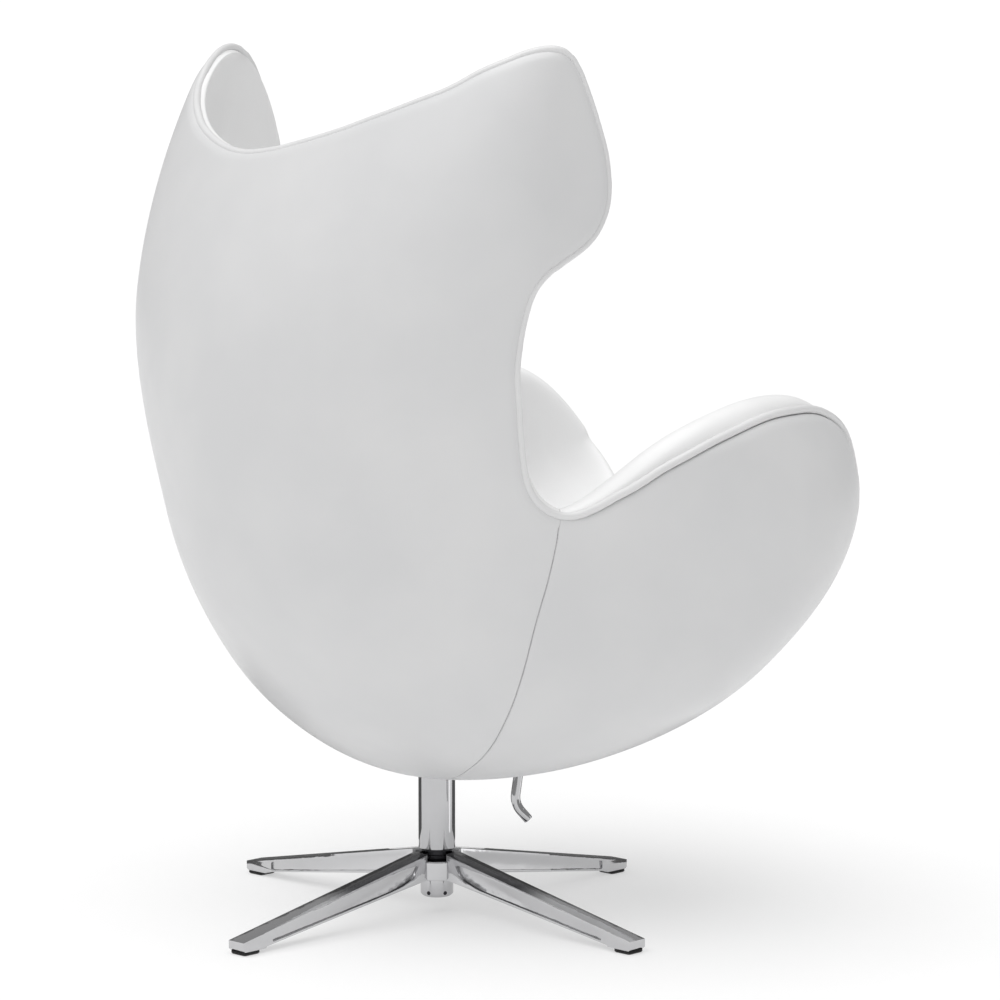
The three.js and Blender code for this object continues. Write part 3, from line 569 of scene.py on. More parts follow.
def rim_strip(start, end, steps):
    """Rim samples: pattern points at each distance inside the rim, and the outward direction."""
    t = evenly(rim_curve, start, end, steps)
    here, out = rim_curve(t), outward(t)
    loops, place, gone = {0: here}, here, 0.0
    for distance in [*sorted(set(RINGS) - {0}), INSET]:
        place = place + direction_on_shell(place, -out) * (distance - gone)
        gone, loops[distance] = distance, place
    return loops, out


def blended(spine, side, first, last):
    """Four-sided patch filled from its edges, then relaxed until no cell folds over."""
    def fill(edges):
        spine, side, first, last = edges
        s = np.linspace(0, 1, len(side))[:, None, None]
        t = np.linspace(0, 1, len(first))[None, :, None]
        return ((1 - t) * spine[:, None] + t * side[:, None] + (1 - s) * first[None]
                + s * last[None] - (1 - s) * ((1 - t) * first[0] + t * first[-1])
                - s * ((1 - t) * last[0] + t * last[-1]))

    grid = None
    for stride in (4, 2, 1):
        edges = [edge[::stride] for edge in (spine, side, first, last)]
        if grid is None:
            grid = fill(edges)
        else:
            grid = np.repeat(np.repeat(grid, 2, 0), 2, 1)[:-1, :-1]
            grid[1:-1:2] = (grid[:-2:2] + grid[2::2]) / 2
            grid[:, 1:-1:2] = (grid[:, :-2:2] + grid[:, 2::2]) / 2
            grid[:, 0], grid[:, -1], grid[0], grid[-1] = edges
        for _ in range(1500 if stride == 4 else 500):
            di, dj = (grid[2:, 1:-1] - grid[:-2, 1:-1]) / 2, (grid[1:-1, 2:] - grid[1:-1, :-2]) / 2
            a, c = (dj * dj).sum(-1, keepdims=True), (di * di).sum(-1, keepdims=True)
            b = (di * dj).sum(-1, keepdims=True) / 2
            cross = grid[2:, 2:] - grid[2:, :-2] - grid[:-2, 2:] + grid[:-2, :-2]
            new = (a * (grid[2:, 1:-1] + grid[:-2, 1:-1]) + c * (grid[1:-1, 2:] + grid[1:-1, :-2])
                   - b * cross) / (2 * (a + c))
            grid[1:-1, 1:-1] = 0.3 * grid[1:-1, 1:-1] + 0.7 * new
    return grid


top_loops, top_out = rim_strip(1, AT_WING, HALF_COLS)
wing_loops, wing_out = rim_strip(AT_WING, AT_NOTCH, BACK_ROWS)
arm_loops, arm_out = rim_strip(AT_NOTCH, AT_ARM_END, SEAT_ROWS)
low_loops, low_out = rim_strip(AT_ARM_END, AT_FRONT, HALF_COLS)
low_loops, low_out = {d: loop[::-1] for d, loop in low_loops.items()}, low_out[::-1]
seam_points = [from_side(a) for a in SEAM_SIDE]
seam_curve = curve_through([seam_points[0] * MIRROR, [0, SEAM_V], *seam_points,
                            wing_loops[INSET][-1]])
seam_row = seam_curve(evenly(seam_curve, 1, len(seam_points) + 2, HALF_COLS))
top_row, low_row = top_loops[INSET], low_loops[INSET]
back_grid = blended(np.linspace(top_row[0], seam_row[0], BACK_ROWS + 1), wing_loops[INSET],
                    top_row, seam_row)
seat_grid = blended(np.linspace(seam_row[0], low_row[0], SEAT_ROWS + 1), arm_loops[INSET],
                    seam_row, low_row)
half = np.vstack([back_grid[:-1], seat_grid])
side_loops = {d: np.vstack([wing_loops[d][:-1], arm_loops[d]]) for d in wing_loops}
side_out = np.vstack([wing_out[:-1], arm_out])
row_place = np.r_[np.linspace(0, 1, BACK_ROWS + 1)[:-1], np.linspace(1, 2, SEAT_ROWS + 1)]

# Fine rows on both sides of the seam, at these distances from it.
SEAM_STEPS = [0.5, 1.2, 2.2, 3.6, 5.4]
for back_side in (True, False):
    near = int(np.argmin(abs(row_place - 1)))
    far, at = (near - 1, near) if back_side else (near + 1, near + 1)
    gap = np.linalg.norm(outer(half[near]) - outer(half[far]), axis=1).max()
    mixes = [d / max(gap, 7.5) for d in SEAM_STEPS]
    if back_side:
        mixes.reverse()

    def insert(rows):
        new = [rows[near] * (1 - f) + rows[far] * f for f in mixes]
        return np.concatenate([rows[:at], np.array(new), rows[at:]])

    half, side_out, row_place = insert(half), insert(side_out), insert(row_place)
    side_loops = {d: insert(loop) for d, loop in side_loops.items()}
ROWS, COLS = len(half) - 1, 2 * HALF_COLS
SEAM_ROW = int(np.argmin(abs(row_place - 1)))

# Both halves of every row, from the left rim (-x) to the right rim.
grid = np.concatenate([half[:, :0:-1] * MIRROR, half], axis=1)
grid_id = np.arange((ROWS + 1) * (COLS + 1)).reshape(ROWS + 1, COLS + 1)


def around(top, side, low, flip):
    """One value per point of the grid's edge: along the top, down the right, back along the
    bottom and up the left."""
    flipped = [part * flip for part in (top, side, low)]
    return np.concatenate([flipped[0][:0:-1], top[:-1], side[:-1], low[:0:-1], flipped[2][:-1],
                           flipped[1][:0:-1]])


edge = np.concatenate([grid_id[0, :-1], grid_id[:-1, -1], grid_id[-1, :0:-1], grid_id[:0:-1, 0]])
edge_rows = edge // (COLS + 1)
loops = {d: around(top_loops[d], side_loops[d], low_loops[d], MIRROR) for d in top_loops}
X_FLIP = np.array([-1, 1, 1])
rim_out = unit(around(top_out, side_out, low_out, X_FLIP))
EDGE = len(edge)
pattern = np.concatenate([grid.reshape(-1, 2), *[loops[d] for d in RINGS]])
surface, normal = outer(pattern), inward(pattern)
ring_id = [edge] + [len(grid_id.ravel()) + k * EDGE + np.arange(EDGE) for k in range(len(RINGS))]
rim_at, rim_in = surface[ring_id[-1]], normal[ring_id[-1]]

tree = kdtree.KDTree(EDGE)
for k, spot in enumerate(rim_at):
    tree.insert(spot, k)
tree.balance()
rim_distance = np.concatenate([[tree.find(spot)[2] for spot in surface[:grid_id.size]],
                               *[np.full(EDGE, float(d)) for d in RINGS]])
row_of = np.concatenate([np.repeat(row_place, COLS + 1), *[row_place[edge_rows] for _ in RINGS]])
seam_ends = [int(np.flatnonzero(edge == grid_id[SEAM_ROW, j])[0]) for j in (0, COLS)]
seam_ids = [*[ring[seam_ends[0]] for ring in ring_id[:0:-1]], *grid_id[SEAM_ROW],
            *[ring[seam_ends[1]] for ring in ring_id[1:]]]
seam_line = surface[seam_ids]
seam_distance = np.array([np.min(np.linalg.norm(seam_line - spot, axis=1))
                          if abs(r - 1) < 0.3 else 99 for spot, r in zip(surface, row_of)])

# Quads of the grid and of the strip towards the rim, each with its row place.
quads = [[grid_id[i, j], grid_id[i + 1, j], grid_id[i + 1, j + 1], grid_id[i, j + 1]]
         for i in range(ROWS) for j in range(COLS)]
quad_row = [i for i in range(ROWS) for _ in range(COLS)]
strip = []
for inner, outer_ring in zip(ring_id, ring_id[1:]):
    for k in range(EDGE):
        m = (k + 1) % EDGE
        strip.append([inner[k], inner[m], outer_ring[m], outer_ring[k]])
strip_row = [min(edge_rows[k], edge_rows[(k + 1) % EDGE]) for _ in RINGS for k in range(EDGE)]


def smoothstep(value, low, high):
    t = np.clip((np.asarray(value, float) - low) / (high - low), 0, 1)
    return t * t * (3 - 2 * t)


def shell_layer(quad_list, depth_a, depth_b, rim_profile=None, seam_gap=0.0):
    """Closed layer over some quads, from depth_a to depth_b per point. At the rim it goes round
    through rim_profile's points, and at other edges straight across. seam_gap draws its edge back
    from the seam."""
    quad_list = np.asarray(quad_list)
    used = np.unique(quad_list)
    number = {int(v): k for k, v in enumerate(used)}
    sides = dict.fromkeys((int(a), int(b)) for q in quad_list for a, b in zip(q, np.roll(q, -1)))
    borders = [(a, b) for a, b in sides if (b, a) not in sides]
    verts = [*(surface[used] + normal[used] * depth_a[used][:, None]),
             *(surface[used] + normal[used] * depth_b[used][:, None])]
    n = len(used)
    faces = [[number[int(v)] for v in q] for q in quad_list]
    faces += [[n + k for k in reversed(f)] for f in faces]
    ladders = {}                 # the points that cross the layer's edge, by pattern point
    for v in {v for e in borders for v in e}:
        rungs = (rim_profile or {}).get(v, [])
        ladders[v] = [number[v], *range(len(verts), len(verts) + len(rungs)), n + number[v]]
        verts += rungs
    for a, b in borders:
        la, lb = ladders[a], ladders[b]
        if len(la) != len(lb):   # the last face beside the rim
            short, tall = sorted((la, lb), key=len)
            fan = [*tall, short[-1], short[0]]
            faces.append(fan if short is la else fan[::-1])
            continue
        for k in range(len(la) - 1):
            faces.append([lb[k], la[k], la[k + 1], lb[k + 1]])
    verts = np.array(verts)
    if seam_gap:
        inner_row = SEAM_ROW + (-1 if quad_list.min() < grid_id[SEAM_ROW].min() else 1)
        for v, w in zip(grid_id[SEAM_ROW], grid_id[inner_row]):
            step = surface[w] - surface[v]
            verts[ladders.get(int(v), [])] += step / np.linalg.norm(step) * seam_gap
    return verts, faces


# --- upholstery
EDGE_ROUND, EDGE_DROP, VALLEY, COVER_T = 16.0, 8.0, 1.5, 3.0
WRAP = 9.6                       # the leather wraps the shell's edge down to this depth
COVER_GAP, PAD_GAP = 0.2, 0.4    # half the gap at the seam
is_strip = np.arange(len(surface)) >= grid_id.size
rounding = np.clip(EDGE_ROUND - rim_distance, 0, EDGE_ROUND)
cover_depth = EDGE_DROP * (1 - np.sqrt(1 - (rounding / EDGE_ROUND) ** 2))
cover_depth = np.maximum(cover_depth, VALLEY * np.clip(1 - seam_distance / 2.6, 0, 1) ** 1.5)
cover_back = np.where(is_strip, WRAP, COVER_T)
column_hole = prism(stadium(0, 0, 13, 27, 64), 150, 215)
lever_slot = prism(stadium(-100, -79, -56, 11, 48), 150, 215)


def refine(piece, sharp=50):
    """One step of smooth subdivision, baked in."""
    modify(piece, "SUBSURF", sharp, levels=1)


def punch(piece):
    for hole in (column_hole, lever_slot):
        combine(piece, plain_solid("hole", *hole), "DIFFERENCE", 50)


for name, on_seat, cad_node in (("back_leather", False, "back_cover"),
                                ("seat_leather", True, "seat_cover")):
    chosen = [q for q, r in zip(quads + strip, quad_row + strip_row)
              if (r >= SEAM_ROW) == on_seat]
    cover = make_object(name, *shell_layer(chosen, cover_depth, cover_back, seam_gap=COVER_GAP),
                        OUTER_LEATHER_PAINTED_SHADE, "seat", "leather", (cad_node,), 50)
    refine(cover)
    punch(cover)

flat = np.ones(len(surface))
SHELL_FRONT, SHELL_BACK = 3.3, 9.3
moulded = make_object("moulded_shell", *shell_layer(quads, flat * SHELL_FRONT, flat * SHELL_BACK),
                      MOULDED, "seat", "moulded_shell", ("hard_shell",), 50)
punch(moulded)

# Lining: thicker under and beside the sitter, rounded at the seam and rolled over the rim.
PAD_START, PAD_BACK, PAD_SEAT, PAD_TAPER = 10.1, 34, 46, 22
TUCK, SEAM_DIP = 1.5, 7
full_depth = PAD_START + PAD_BACK + (PAD_SEAT - PAD_BACK) * smoothstep(row_of, 1 - 4 / 11, 1.3)
seam_round = np.clip(1 - seam_distance / 12, 0, 1)
on_back = 1 - smoothstep(row_of, 0.93, 1.12)
pad_depth = (full_depth - TUCK * np.clip((35 - rim_distance) / 21, 0, 1) ** 2
             - SEAM_DIP * (1 - np.sqrt(1 - seam_round**2))
             - PAD_TAPER * on_back * (1 - smoothstep(rim_distance, 10, 120)))


ROLL_BACK = 5.0
ARM_PLACE = [1, 1.08, 1.16, 1.25, 1.35, 1.48, 1.65, 1.82, 2]  # rows from notch to front end
ARM_ROLL = [ROLL_BACK, 9, 17, 25, 31, 35, 35, 31, 12]
LEAN, LEAN_BULGE = 50, 9


def roll_at(row):
    """How far the lining stands past the rim, by place along the rim."""
    return float(np.interp([row - 0.05, row, row + 0.05], ARM_PLACE, ARM_ROLL).mean())


def corner_lean(y, z):
    """How much the lining leans past the rim, from 0 to 1: most at an arm's front corner."""
    falling_off = 0.7 * smoothstep(z, 570, 625) + 0.3 * smoothstep(z, 625, 690)
    return smoothstep(-y, 280, 380) * smoothstep(z, 430, 515) * (1 - falling_off)


def roll_profile(k):
    """Points of the lining's rolled edge at edge point k, from the piping to the inner face."""
    roll, full = roll_at(row_place[edge_rows[k]]), pad_depth[edge[k]]
    _, y, z = rim_at[k]
    lean, reach_of_lean = corner_lean(y, z), LEAN + LEAN_BULGE * math.exp(-((z - 560) / 22) ** 2)
    low = PAD_START + 1.4
    path = [(-8, PAD_START), (-1, PAD_START + 0.3), (3, PAD_START + 0.9)]
    for a in np.radians(np.linspace(-78, 80, 13)):
        inner_share = (1 + math.sin(a)) / 2
        base = 3 - 17 * inner_share
        reach = roll + lean * (reach_of_lean * inner_share - 8)
        path.append((base + (reach - base) * math.cos(a) ** (0.72 - 0.25 * lean),
                     (low + full) / 2 + (full - low) / 2 * math.sin(a)))
    points = []
    for s, depth_here in path:
        f = min(1, (s + INSET) / INSET)
        at = surface[edge[k]] * (1 - f) + rim_at[k] * f + rim_out[k] * max(s, 0)
        n = normal[edge[k]] * (1 - f) + rim_in[k] * f
        points.append(at + n / np.linalg.norm(n) * depth_here)
    return points


profiles = np.array([roll_profile(k) for k in range(EDGE)])
easing = np.sin(np.linspace(0, math.pi, profiles.shape[1]))[:, None]
for _ in range(10):       # the filling evens out along the rim
    along_rim = (np.roll(profiles, 1, axis=0) + np.roll(profiles, -1, axis=0)) / 2
    profiles += 0.7 * easing * (along_rim - profiles)
rolls = {int(edge[k]): list(profiles[k]) for k in range(EDGE)}
centres = surface[np.array(quads)].mean(axis=1)
GEAR_X, GEAR_Y, GEAR_TOP = 170, 131, 300      # the lining stays open over the mechanism
over_gear = ((abs(centres[:, 0]) < GEAR_X) & (abs(centres[:, 1]) < GEAR_Y)
             & (centres[:, 2] < GEAR_TOP))
for name, rows, cad_node in (("back_pad", range(SEAM_ROW), "back_lining"),
                             ("seat_pad", range(SEAM_ROW, ROWS), "seat_lining")):
    chosen = [q for q, r, gear in zip(quads, quad_row, over_gear) if r in rows and not gear]
    pad = make_object(name, *shell_layer(chosen, flat * PAD_START, pad_depth, rolls, PAD_GAP),
                      PAD_LEATHER_PAINTED_LIGHT, "seat", "padded_leather", (cad_node,), 60)
    refine(pad, 60)

# Piping along the whole rim. It stands further out along the arms.
PIPING_R, PIPING_DEPTH = 4.9, 8.4
fine = evenly(rim_curve, 1, AT_FRONT, 460)
on_arm = smoothstep(fine, AT_NOTCH - 1.5, AT_NOTCH + 4)[:, None]
half_path = (outer(rim_curve(fine)) + inward(rim_curve(fine)) * (PIPING_DEPTH - 2.2 * on_arm)
             + outward(fine) * (0.9 + 4.3 * on_arm))
piping_path = np.concatenate([half_path, half_path[-2:0:-1] * X_FLIP])
ripple = np.sin(np.arange(len(piping_path)) * 2.1) * np.sin(np.arange(len(piping_path)) * 0.37)
make_object("rim_piping", *tube(piping_path, PIPING_R + 0.12 * ripple, 20, True, (0, 0, 1)),
            SEAT_LEATHER, "seat", "padded_leather", ("edge_welt",), 180)


def stitches(name, path, lift, every, length, radius):
    """Short threads along a path, each with its ends sunk in and its middle lifted."""
    path, lift = np.asarray(path), np.asarray(lift)
    run = np.r_[0, np.cumsum(np.linalg.norm(np.diff(path, axis=0), axis=1))]
    verts, faces = [], []
    for start in np.arange(every, run[-1] - every, every):
        place, bow = start + np.linspace(0, 1, 5) * length, np.array([-0.9, 0.1, 0.35, 0.1, -0.9])
        at, up = (np.stack([np.interp(place, run, line[:, c]) for c in range(3)], 1)
                  for line in (path, lift))
        spots = at + up * bow[:, None]
        v, f = tube(spots, [radius * 0.7, radius, radius, radius, radius * 0.7], 6, False,
                    (0.3, 0.5, 0.81))
        faces += [[k + len(verts) for k in face] for face in f]
        verts += v
    return make_object(name, verts, faces, THREAD, "seat", "padded_leather", (), 60)


seam_out = -normal[grid_id[SEAM_ROW]]
seam_path = surface[grid_id[SEAM_ROW]] - seam_out * 1.1
for side, part in (("l", slice(HALF_COLS + 6, COLS + 1)), ("r", slice(0, HALF_COLS - 5))):
    stitches("seam_stitching_" + side, seam_path[part], seam_out[part], 4.6, 3.0, 0.42)

# --- seat cushion
CUSHION_INSET, CUSHION_PRESSURE, CUSHION_CAP, CUSHION_VOXEL = 7.0, 4.0, 11.0, 0.006
CLOTH_FRAMES = 20


def swell(piece, pressure, cap, held):
    """Cloth inflated from inside until it is taut; no point travels further than the cap."""
    start = np.array([v.co for v in piece.data.vertices])
    group = piece.vertex_groups.new(name="held")
    for i in np.flatnonzero(held(start)):
        group.add([int(i)], 1.0, "REPLACE")
    cloth = piece.modifiers.new("cloth", "CLOTH")
    cloth.settings.use_pressure = True
    cloth.settings.uniform_pressure_force = pressure
    cloth.settings.effector_weights.gravity = 0
    cloth.settings.vertex_group_mass = "held"
    cloth.settings.quality = 4
    cloth.settings.tension_stiffness = cloth.settings.compression_stiffness = 18
    cloth.settings.bending_stiffness = 2
    cloth.collision_settings.use_collision = False
    for step in range(1, CLOTH_FRAMES + 1):
        scene.frame_set(step)
    apply_modifiers(piece)
    scene.frame_set(1)
    end = np.array([v.co for v in piece.data.vertices])
    move = end - start
    far = np.linalg.norm(move, axis=1, keepdims=True)
    move *= cap * MM * np.tanh(far / (cap * MM)) / np.maximum(far, 1e-9)
    piece.data.vertices.foreach_set("co", (start + move).ravel())


low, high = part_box("seat_cushion")
cushion_mesh = frame["nodes"]["seat_cushion"].data.copy()
cushion = link_object("seat_cushion_cover", cushion_mesh)
cushion_mesh.materials.clear()
cushion_mesh.materials.append(SEAT_LEATHER)
centre, half = (low + high) / 2, (high - low) / 2
for v in cushion_mesh.vertices:
    for axis in range(3):
        shrink = 1 - CUSHION_INSET * MM / half[axis]
        v.co[axis] = centre[axis] + (v.co[axis] - centre[axis]) * shrink
modify(cushion, "REMESH", mode="VOXEL", voxel_size=CUSHION_VOXEL)
modify(cushion, "SMOOTH", factor=0.5, iterations=12)
SEAM_Z = high.z - 22 * MM       # the cushion's upper seam
CROWN, PINCH, PINCH_WIDTH, CUSHION_PIPING_R = 7 * MM, 2.2 * MM, 4 * MM, 3.4
swell(cushion, CUSHION_PRESSURE, CUSHION_CAP,
      lambda p: (abs(p[:, 2] - SEAM_Z) < PINCH_WIDTH) | (p[:, 2] < low.z + 12 * MM))
points = np.array([v.co for v in cushion.data.vertices])
from_middle = np.hypot((points[:, 0] - centre.x) / half.x, (points[:, 1] - centre.y) / half.y)
points[:, 2] += CROWN * np.clip(1 - from_middle**2, 0, 1) * (points[:, 2] > centre.z)
pinch = PINCH * np.exp(-((points[:, 2] - SEAM_Z) / PINCH_WIDTH) ** 2)
points[:, :2] -= unit(points[:, :2] - [centre.x, centre.y]) * pinch[:, None]
points[:, 2] = np.minimum(points[:, 2], high.z + 5 * MM)
cushion.data.vertices.foreach_set("co", points.ravel())
settle(cushion, "seat", ("seat_cushion",))
modify(cushion, "CORRECTIVE_SMOOTH", iterations=6)
refine(cushion, 180)


def outline_at(height, count=220):
    """The cushion's outline at a height, as points at even turns about its centre, in mm."""
    spots = np.array([v.co for v in cushion.data.vertices])
    spots = (spots[abs(spots[:, 2] - height) < 5 * MM] - list(centre)) / MM
    turn, reach = np.arctan2(spots[:, 1], spots[:, 0]), np.hypot(spots[:, 1], spots[:, 0])
    angles = -math.pi + 2 * math.pi * np.arange(count) / count
    near = np.cos(turn - angles[:, None]) > math.cos(2.4 * math.pi / count)
    out = np.where(near, reach, 0).max(axis=1)
    good = np.flatnonzero(out)
    out = np.interp(np.arange(count), good, out[good], period=count)
    out = sum(np.roll(out, k) for k in range(-3, 4)) / 7
    return np.stack([centre.x / MM + out * np.cos(angles), centre.y / MM + out * np.sin(angles),
                     np.full(count, height / MM)], 1)


cushion_piping = outline_at(SEAM_Z)
make_object("cushion_piping",
            *tube(cushion_piping, [CUSHION_PIPING_R] * len(cushion_piping), 16, True, (0, 0, 1)),
            PAD_LEATHER_PAINTED_LIGHT, "seat", "padded_leather", (), 180, axis_y=0)

# --- star base
LEG_TURN, LEG_REACH, LEG_HALF, LEG_TIP_Z, LEG_ROOT_Z = 12, 345, 13.5, 17, 80
HUB_R, HUB_BOTTOM, HUB_TOP, FOOT, FOOT_Z, TUBE_R = 34, 46, 70, 42, 5.0, 23.4
COLLAR_R, BORE_R, SLEEVE_R, SLEEVE_Z0 = 19.5, 14.9, 21, 21
TUBE_Z0, TUBE_Z1, WEB_HALF = 83.3, 199.7, 12


def leg_top(r):
    return LEG_ROOT_Z + (LEG_TIP_Z - LEG_ROOT_Z) * (r - TUBE_R) / (LEG_REACH - TUBE_R)


def leg_under(r):
    return HUB_BOTTOM + (FOOT_Z + 2.7 - HUB_BOTTOM) * (r - HUB_R) / (LEG_REACH - FOOT - HUB_R)


def turned_about(verts, degrees):
    a = math.radians(degrees)
    v = np.asarray(verts, float)
    return np.stack([v[:, 0] * math.cos(a) - v[:, 1] * math.sin(a),
                     v[:, 0] * math.sin(a) + v[:, 1] * math.cos(a), v[:, 2]], 1)


foot_start = LEG_REACH - FOOT
step_curve = [(foot_start + 5 * math.sin(a), leg_under(foot_start) - 2.7 * (1 - math.cos(a)))
              for a in np.linspace(0, math.pi / 2, 5)]
leg_outline = [(10, HUB_BOTTOM), (HUB_R, HUB_BOTTOM), *step_curve, (LEG_REACH - 2.5, FOOT_Z),
               (LEG_REACH, FOOT_Z + 2.2), (LEG_REACH, LEG_TIP_Z), (10, leg_top(10))]
pocket_outline = rounded([(HUB_R + 22, leg_under(HUB_R + 22) + 9),
                          (HUB_R + 50, leg_under(HUB_R + 50) + 3.4),
                          (foot_start - 6, leg_under(foot_start - 6) + 2.4),
                          (foot_start - 6, leg_top(foot_start - 6) - 4.2),
                          (HUB_R + 10, leg_top(HUB_R + 10) - 6.5)],
                         [9, 16, 2.5, 2.5, 6], 6)
star = plain_solid("star_casting", *lathe_solid([(0.02, HUB_BOTTOM), (HUB_R - 1.2, HUB_BOTTOM),
                   (HUB_R, HUB_BOTTOM + 1.2), (HUB_R, HUB_TOP - 1.5), (HUB_R - 1.5, HUB_TOP),
                   (0.02, HUB_TOP)], 96))
for k in range(4):
    verts, faces = side_extrusion(leg_outline, -LEG_HALF, LEG_HALF)
    leg = plain_solid("leg", turned_about(verts, LEG_TURN + 90 * k), faces)
    for side in (-1, 1):
        v, f = side_extrusion(pocket_outline, side * (LEG_HALF - 3.2), side * (LEG_HALF + 4))
        combine(leg, plain_solid("pocket", turned_about(v, LEG_TURN + 90 * k), f), "DIFFERENCE")
    for web in (-45, 45):       # the casting is cut back between the legs, so the collar shows
        v, f = side_extrusion([(5, HUB_TOP), (60, HUB_TOP), (60, 120), (5, 120)],
                              -WEB_HALF, WEB_HALF)
        combine(leg, plain_solid("web", turned_about(v, LEG_TURN + web + 90 * k), f), "DIFFERENCE")
    modify(leg, "BEVEL", 40, width=1.15 * MM, segments=3, limit_method="ANGLE",
           angle_limit=math.radians(35))
    combine(star, leg, "UNION")
for radius, z0 in ((COLLAR_R + 0.3, HUB_TOP), (BORE_R, 0)):
    combine(star, plain_solid("bore", *prism(circle(radius, 96), z0, 120)), "DIFFERENCE")
star.data.materials.append(CAST)
settle(star, "base", ("star_base",))


def turned(cad_node, profile, corner, mat, slot, steps=3, segments=96):
    """A turned piece of the base with rounded corners, in place of its CAD node."""
    solid = lathe_solid(rounded(profile, corner, steps), segments)
    return make_object(cad_node + "_fine", *solid, mat, "base", slot, (cad_node,))


# Column, collar, sleeve and the bush at the column's top.
turned("column_tube", [(TUBE_R - 2.9, TUBE_Z0), (TUBE_R, TUBE_Z0), (TUBE_R, TUBE_Z1),
                       (TUBE_R - 2.9, TUBE_Z1)], 0.8, CHROME, "bright_metal", 4, 144)
turned("column_collar", [(BORE_R, HUB_TOP + 0.3), (COLLAR_R, HUB_TOP + 0.3),
                         (COLLAR_R, HUB_TOP + 4), (COLLAR_R - 0.8, HUB_TOP + 5),
                         (COLLAR_R, HUB_TOP + 6), (COLLAR_R, TUBE_Z0 - 0.3),
                         (BORE_R, TUBE_Z0 - 0.3)], 0.4, DARK, "dark_metal")
sleeve = turned("hub_sleeve", [(15.2, SLEEVE_Z0), (SLEEVE_R - 3.2, SLEEVE_Z0),
                               (SLEEVE_R, SLEEVE_Z0 + 3.2), (SLEEVE_R, HUB_BOTTOM - 0.3),
                               (15.2, HUB_BOTTOM - 0.3)], [0.4, 1.5, 1.5, 0.5, 0.3],
                CHROME, "bright_metal", 4)
turned("upper_bush", [(12.3, 178), (TUBE_R - 3.2, 178), (TUBE_R - 3.2, TUBE_Z1 + 0.3),
                      (TUBE_R - 0.4, TUBE_Z1 + 0.3), (TUBE_R - 0.4, TUBE_Z1 + 2.8),
                      (12.3, TUBE_Z1 + 2.8)], 0.3, BLACK, "black_plastic")
for turn in (117, 177):
    v, f = side_extrusion([(x, SLEEVE_Z0 + 6 + z) for x, z in circle(2.6, 32)],
                          15.6, SLEEVE_R + 4)
    combine(sleeve, plain_solid("screw_hole", turned_about(v, turn - 90), f), "DIFFERENCE")

# Foot pads: a bevelled block with a thin groove around it.
for k in range(4):
    x, h = LEG_REACH - 15, LEG_HALF - 0.5
    rings = [(h - 2.6, 0.0), (h - 1.2, 0.35), (h - 0.25, 1.4), (h, 2.2), (h, 3.0), (h - 0.5, 3.25),
             (h - 0.5, 3.6), (h, 3.85), (h, 4.5), (h - 0.3, 4.7)]
    verts, faces = stacked([[(a, b, z) for a, b in rounded(
        [(x - size, -size), (x + size, -size), (x + size, size), (x - size, size)], 3.4, 5)]
        for size, z in rings])
    make_object(f"foot_pad_fine_{k + 1}", turned_about(verts, LEG_TURN + 90 * k), faces, RUBBER,
                "base", "black_plastic", (f"foot_pad_{k + 1}",), 35)

# Lever: round rod with an easy bend, a hinge eye at its top and a chamfered end.
LEVER_X, LEVER_Y, LEVER_Z, LEVER_R = -100, -68, 250, 6
start = np.array([LEVER_X, LEVER_Y + 0.8, 246.0])
elbow = np.array([LEVER_X, LEVER_Y + 16.5, 150.0])
tip = np.array([LEVER_X - 10, LEVER_Y + 1.5, 129.0])
before, after = elbow + (start - elbow) * 0.13, elbow + (tip - elbow) * 0.45
bend = [(1 - t) ** 2 * before + 2 * t * (1 - t) * elbow + t * t * after
        for t in np.linspace(0, 1, 16)]
along = (tip - elbow) / np.linalg.norm(tip - elbow)
lever_path = [start, *bend, tip - along * 1.0, tip - along * 0.35, tip]
radii = [LEVER_R] * (len(lever_path) - 2) + [LEVER_R - 0.35, LEVER_R - 1.0]
lever = plain_solid("lever_fine", *tube(lever_path, radii, 40))
for radius, half_length, operation in ((8, 6, "UNION"), (3.3, 9, "DIFFERENCE")):   # eye, bore
    eye = stacked([[(LEVER_X + x, LEVER_Y + a, LEVER_Z + b) for a, b in circle(radius, 48)]
                   for x in (-half_length, half_length)])
    combine(lever, plain_solid("eye", *eye), operation)
lever.data.materials.append(CHROME)
settle(lever, "lever", ("lever_rod",))

# --- floor and light
def glowing(name, color, roughness, strength):
    mat, shader = new_material(name, color, roughness)
    return mat, put(shader, Emission_Color=(1, 1, 1, 1), Emission_Strength=strength)


# A pale sheet of backlit acrylic: the glow keeps the chair's shadow light.
floor_material, floor_shader = glowing("studio_floor", (0.52, 0.52, 0.52), 0.95, 0.46)
put(floor_shader, Specular_IOR_Level=0.1)
vary_color(floor_material, floor_shader, object_place(floor_material), 3, (0.515, 0.515, 0.515),
           (0.525, 0.525, 0.525))


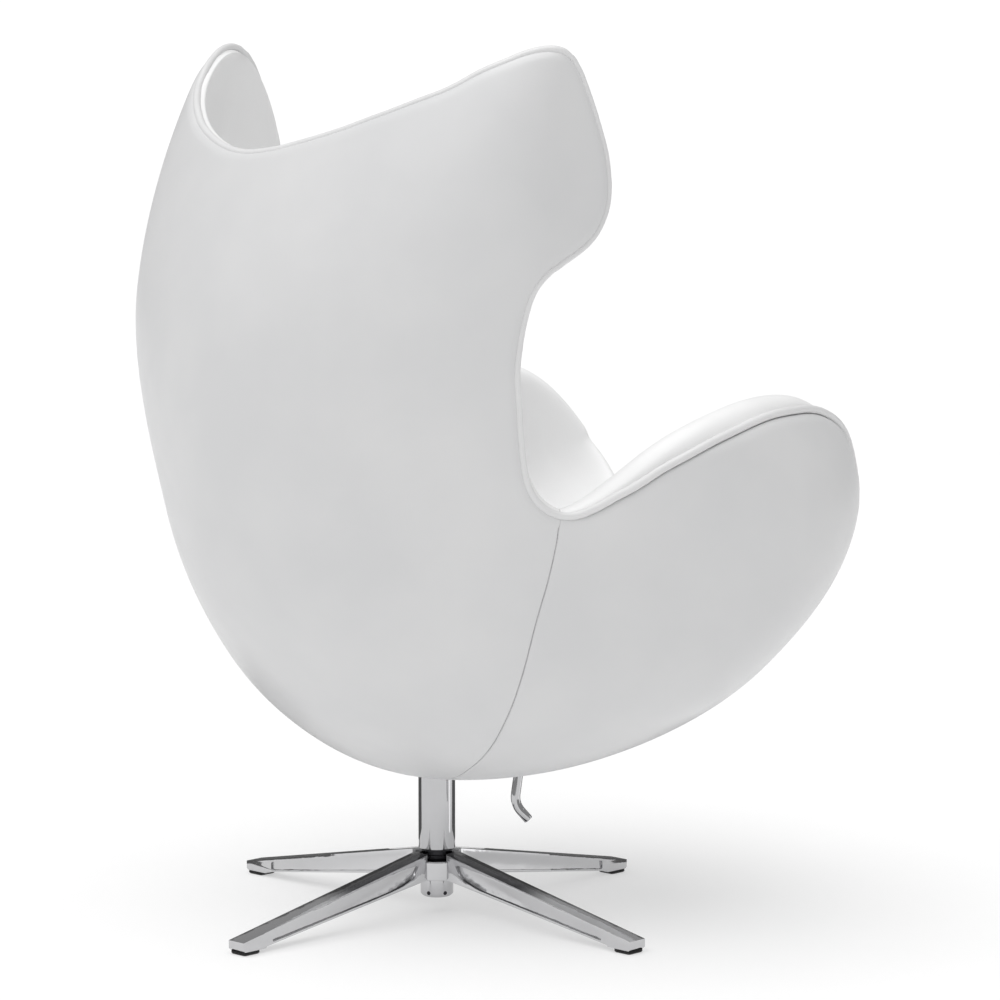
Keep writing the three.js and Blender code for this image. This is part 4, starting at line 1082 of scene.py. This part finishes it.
def stage_sheet(name, middle_at, half_a, half_b, material):
    """A flat four-sided sheet that isn't part of the chair."""
    mesh = bpy.data.meshes.new(name)
    mesh.from_pydata([middle_at + a * half_a + b * half_b
                      for a, b in ((-1, -1), (1, -1), (1, 1), (-1, 1))], [], [(0, 1, 2, 3)])
    mesh.materials.append(material)
    sheet = link_object(name, mesh)
    return sheet


FLOOR_HALF = 30
stage_sheet("floor", Vector(), Vector((FLOOR_HALF, 0, 0)), Vector((0, FLOOR_HALF, 0)),
            floor_material)

# The room is a plain white backdrop that gives a dim even light.
ROOM_LIGHT = (0.37, 1.05)        # strength as light, and as the backdrop
world = bpy.data.worlds.new("studio")
world.use_nodes = True
background = put(world.node_tree.nodes["Background"], Color=(1, 1, 1, 1))
seen = node(world, "ShaderNodeLightPath").outputs["Is Camera Ray"]
link(world, map_range(world, seen, (0, 1), ROOM_LIGHT), background.inputs["Strength"])
scene.world = world
scene.view_settings.view_transform = "Standard"

sun = bpy.data.lights.new("overhead", "SUN")
SUN_STRENGTH, SUN_SPREAD, SUN_AIM = 2.4, math.radians(75), Vector((0.035, -0.24, -0.95))
sun.energy, sun.angle = SUN_STRENGTH, SUN_SPREAD
overhead = link_object("overhead", sun)
overhead.rotation_mode = "QUATERNION"
overhead.rotation_quaternion = SUN_AIM.to_track_quat("-Z", "Y")

# Boards beside the column, seen only in reflections: two dark ones give the bright metal its
# dark edges, and a narrow lit one gives it a streak.
board_material = glowing("dark_board", (0.01, 0.01, 0.01), 1.0, 0.12)[0]
lit_material = glowing("lit_board", (0.8, 0.8, 0.8), 1.0, 1.1)[0]
BOARDS = [("board_r", 40, 0.37, 0.22, board_material), ("board_l", -40, 0.37, 0.22, board_material),
          ("board_lit", 94, 0.38, 0.035, lit_material)]     # turn, distance, half width
BOARD_MIDDLE_Z, BOARD_HALF_Z = 0.107, 0.1
for name, turn, distance, half_board, material in BOARDS:
    facing = math.cos(math.radians(turn)) * depth + math.sin(math.radians(turn)) * across
    board = stage_sheet(name, Vector((COLUMN.x, COLUMN.y, BOARD_MIDDLE_Z)) + facing * distance,
                        Vector((facing.y, -facing.x, 0)) * half_board,
                        Vector((0, 0, BOARD_HALF_Z)), material)
    board.visible_camera = board.visible_diffuse = board.visible_shadow = False
    board.visible_transmission = False
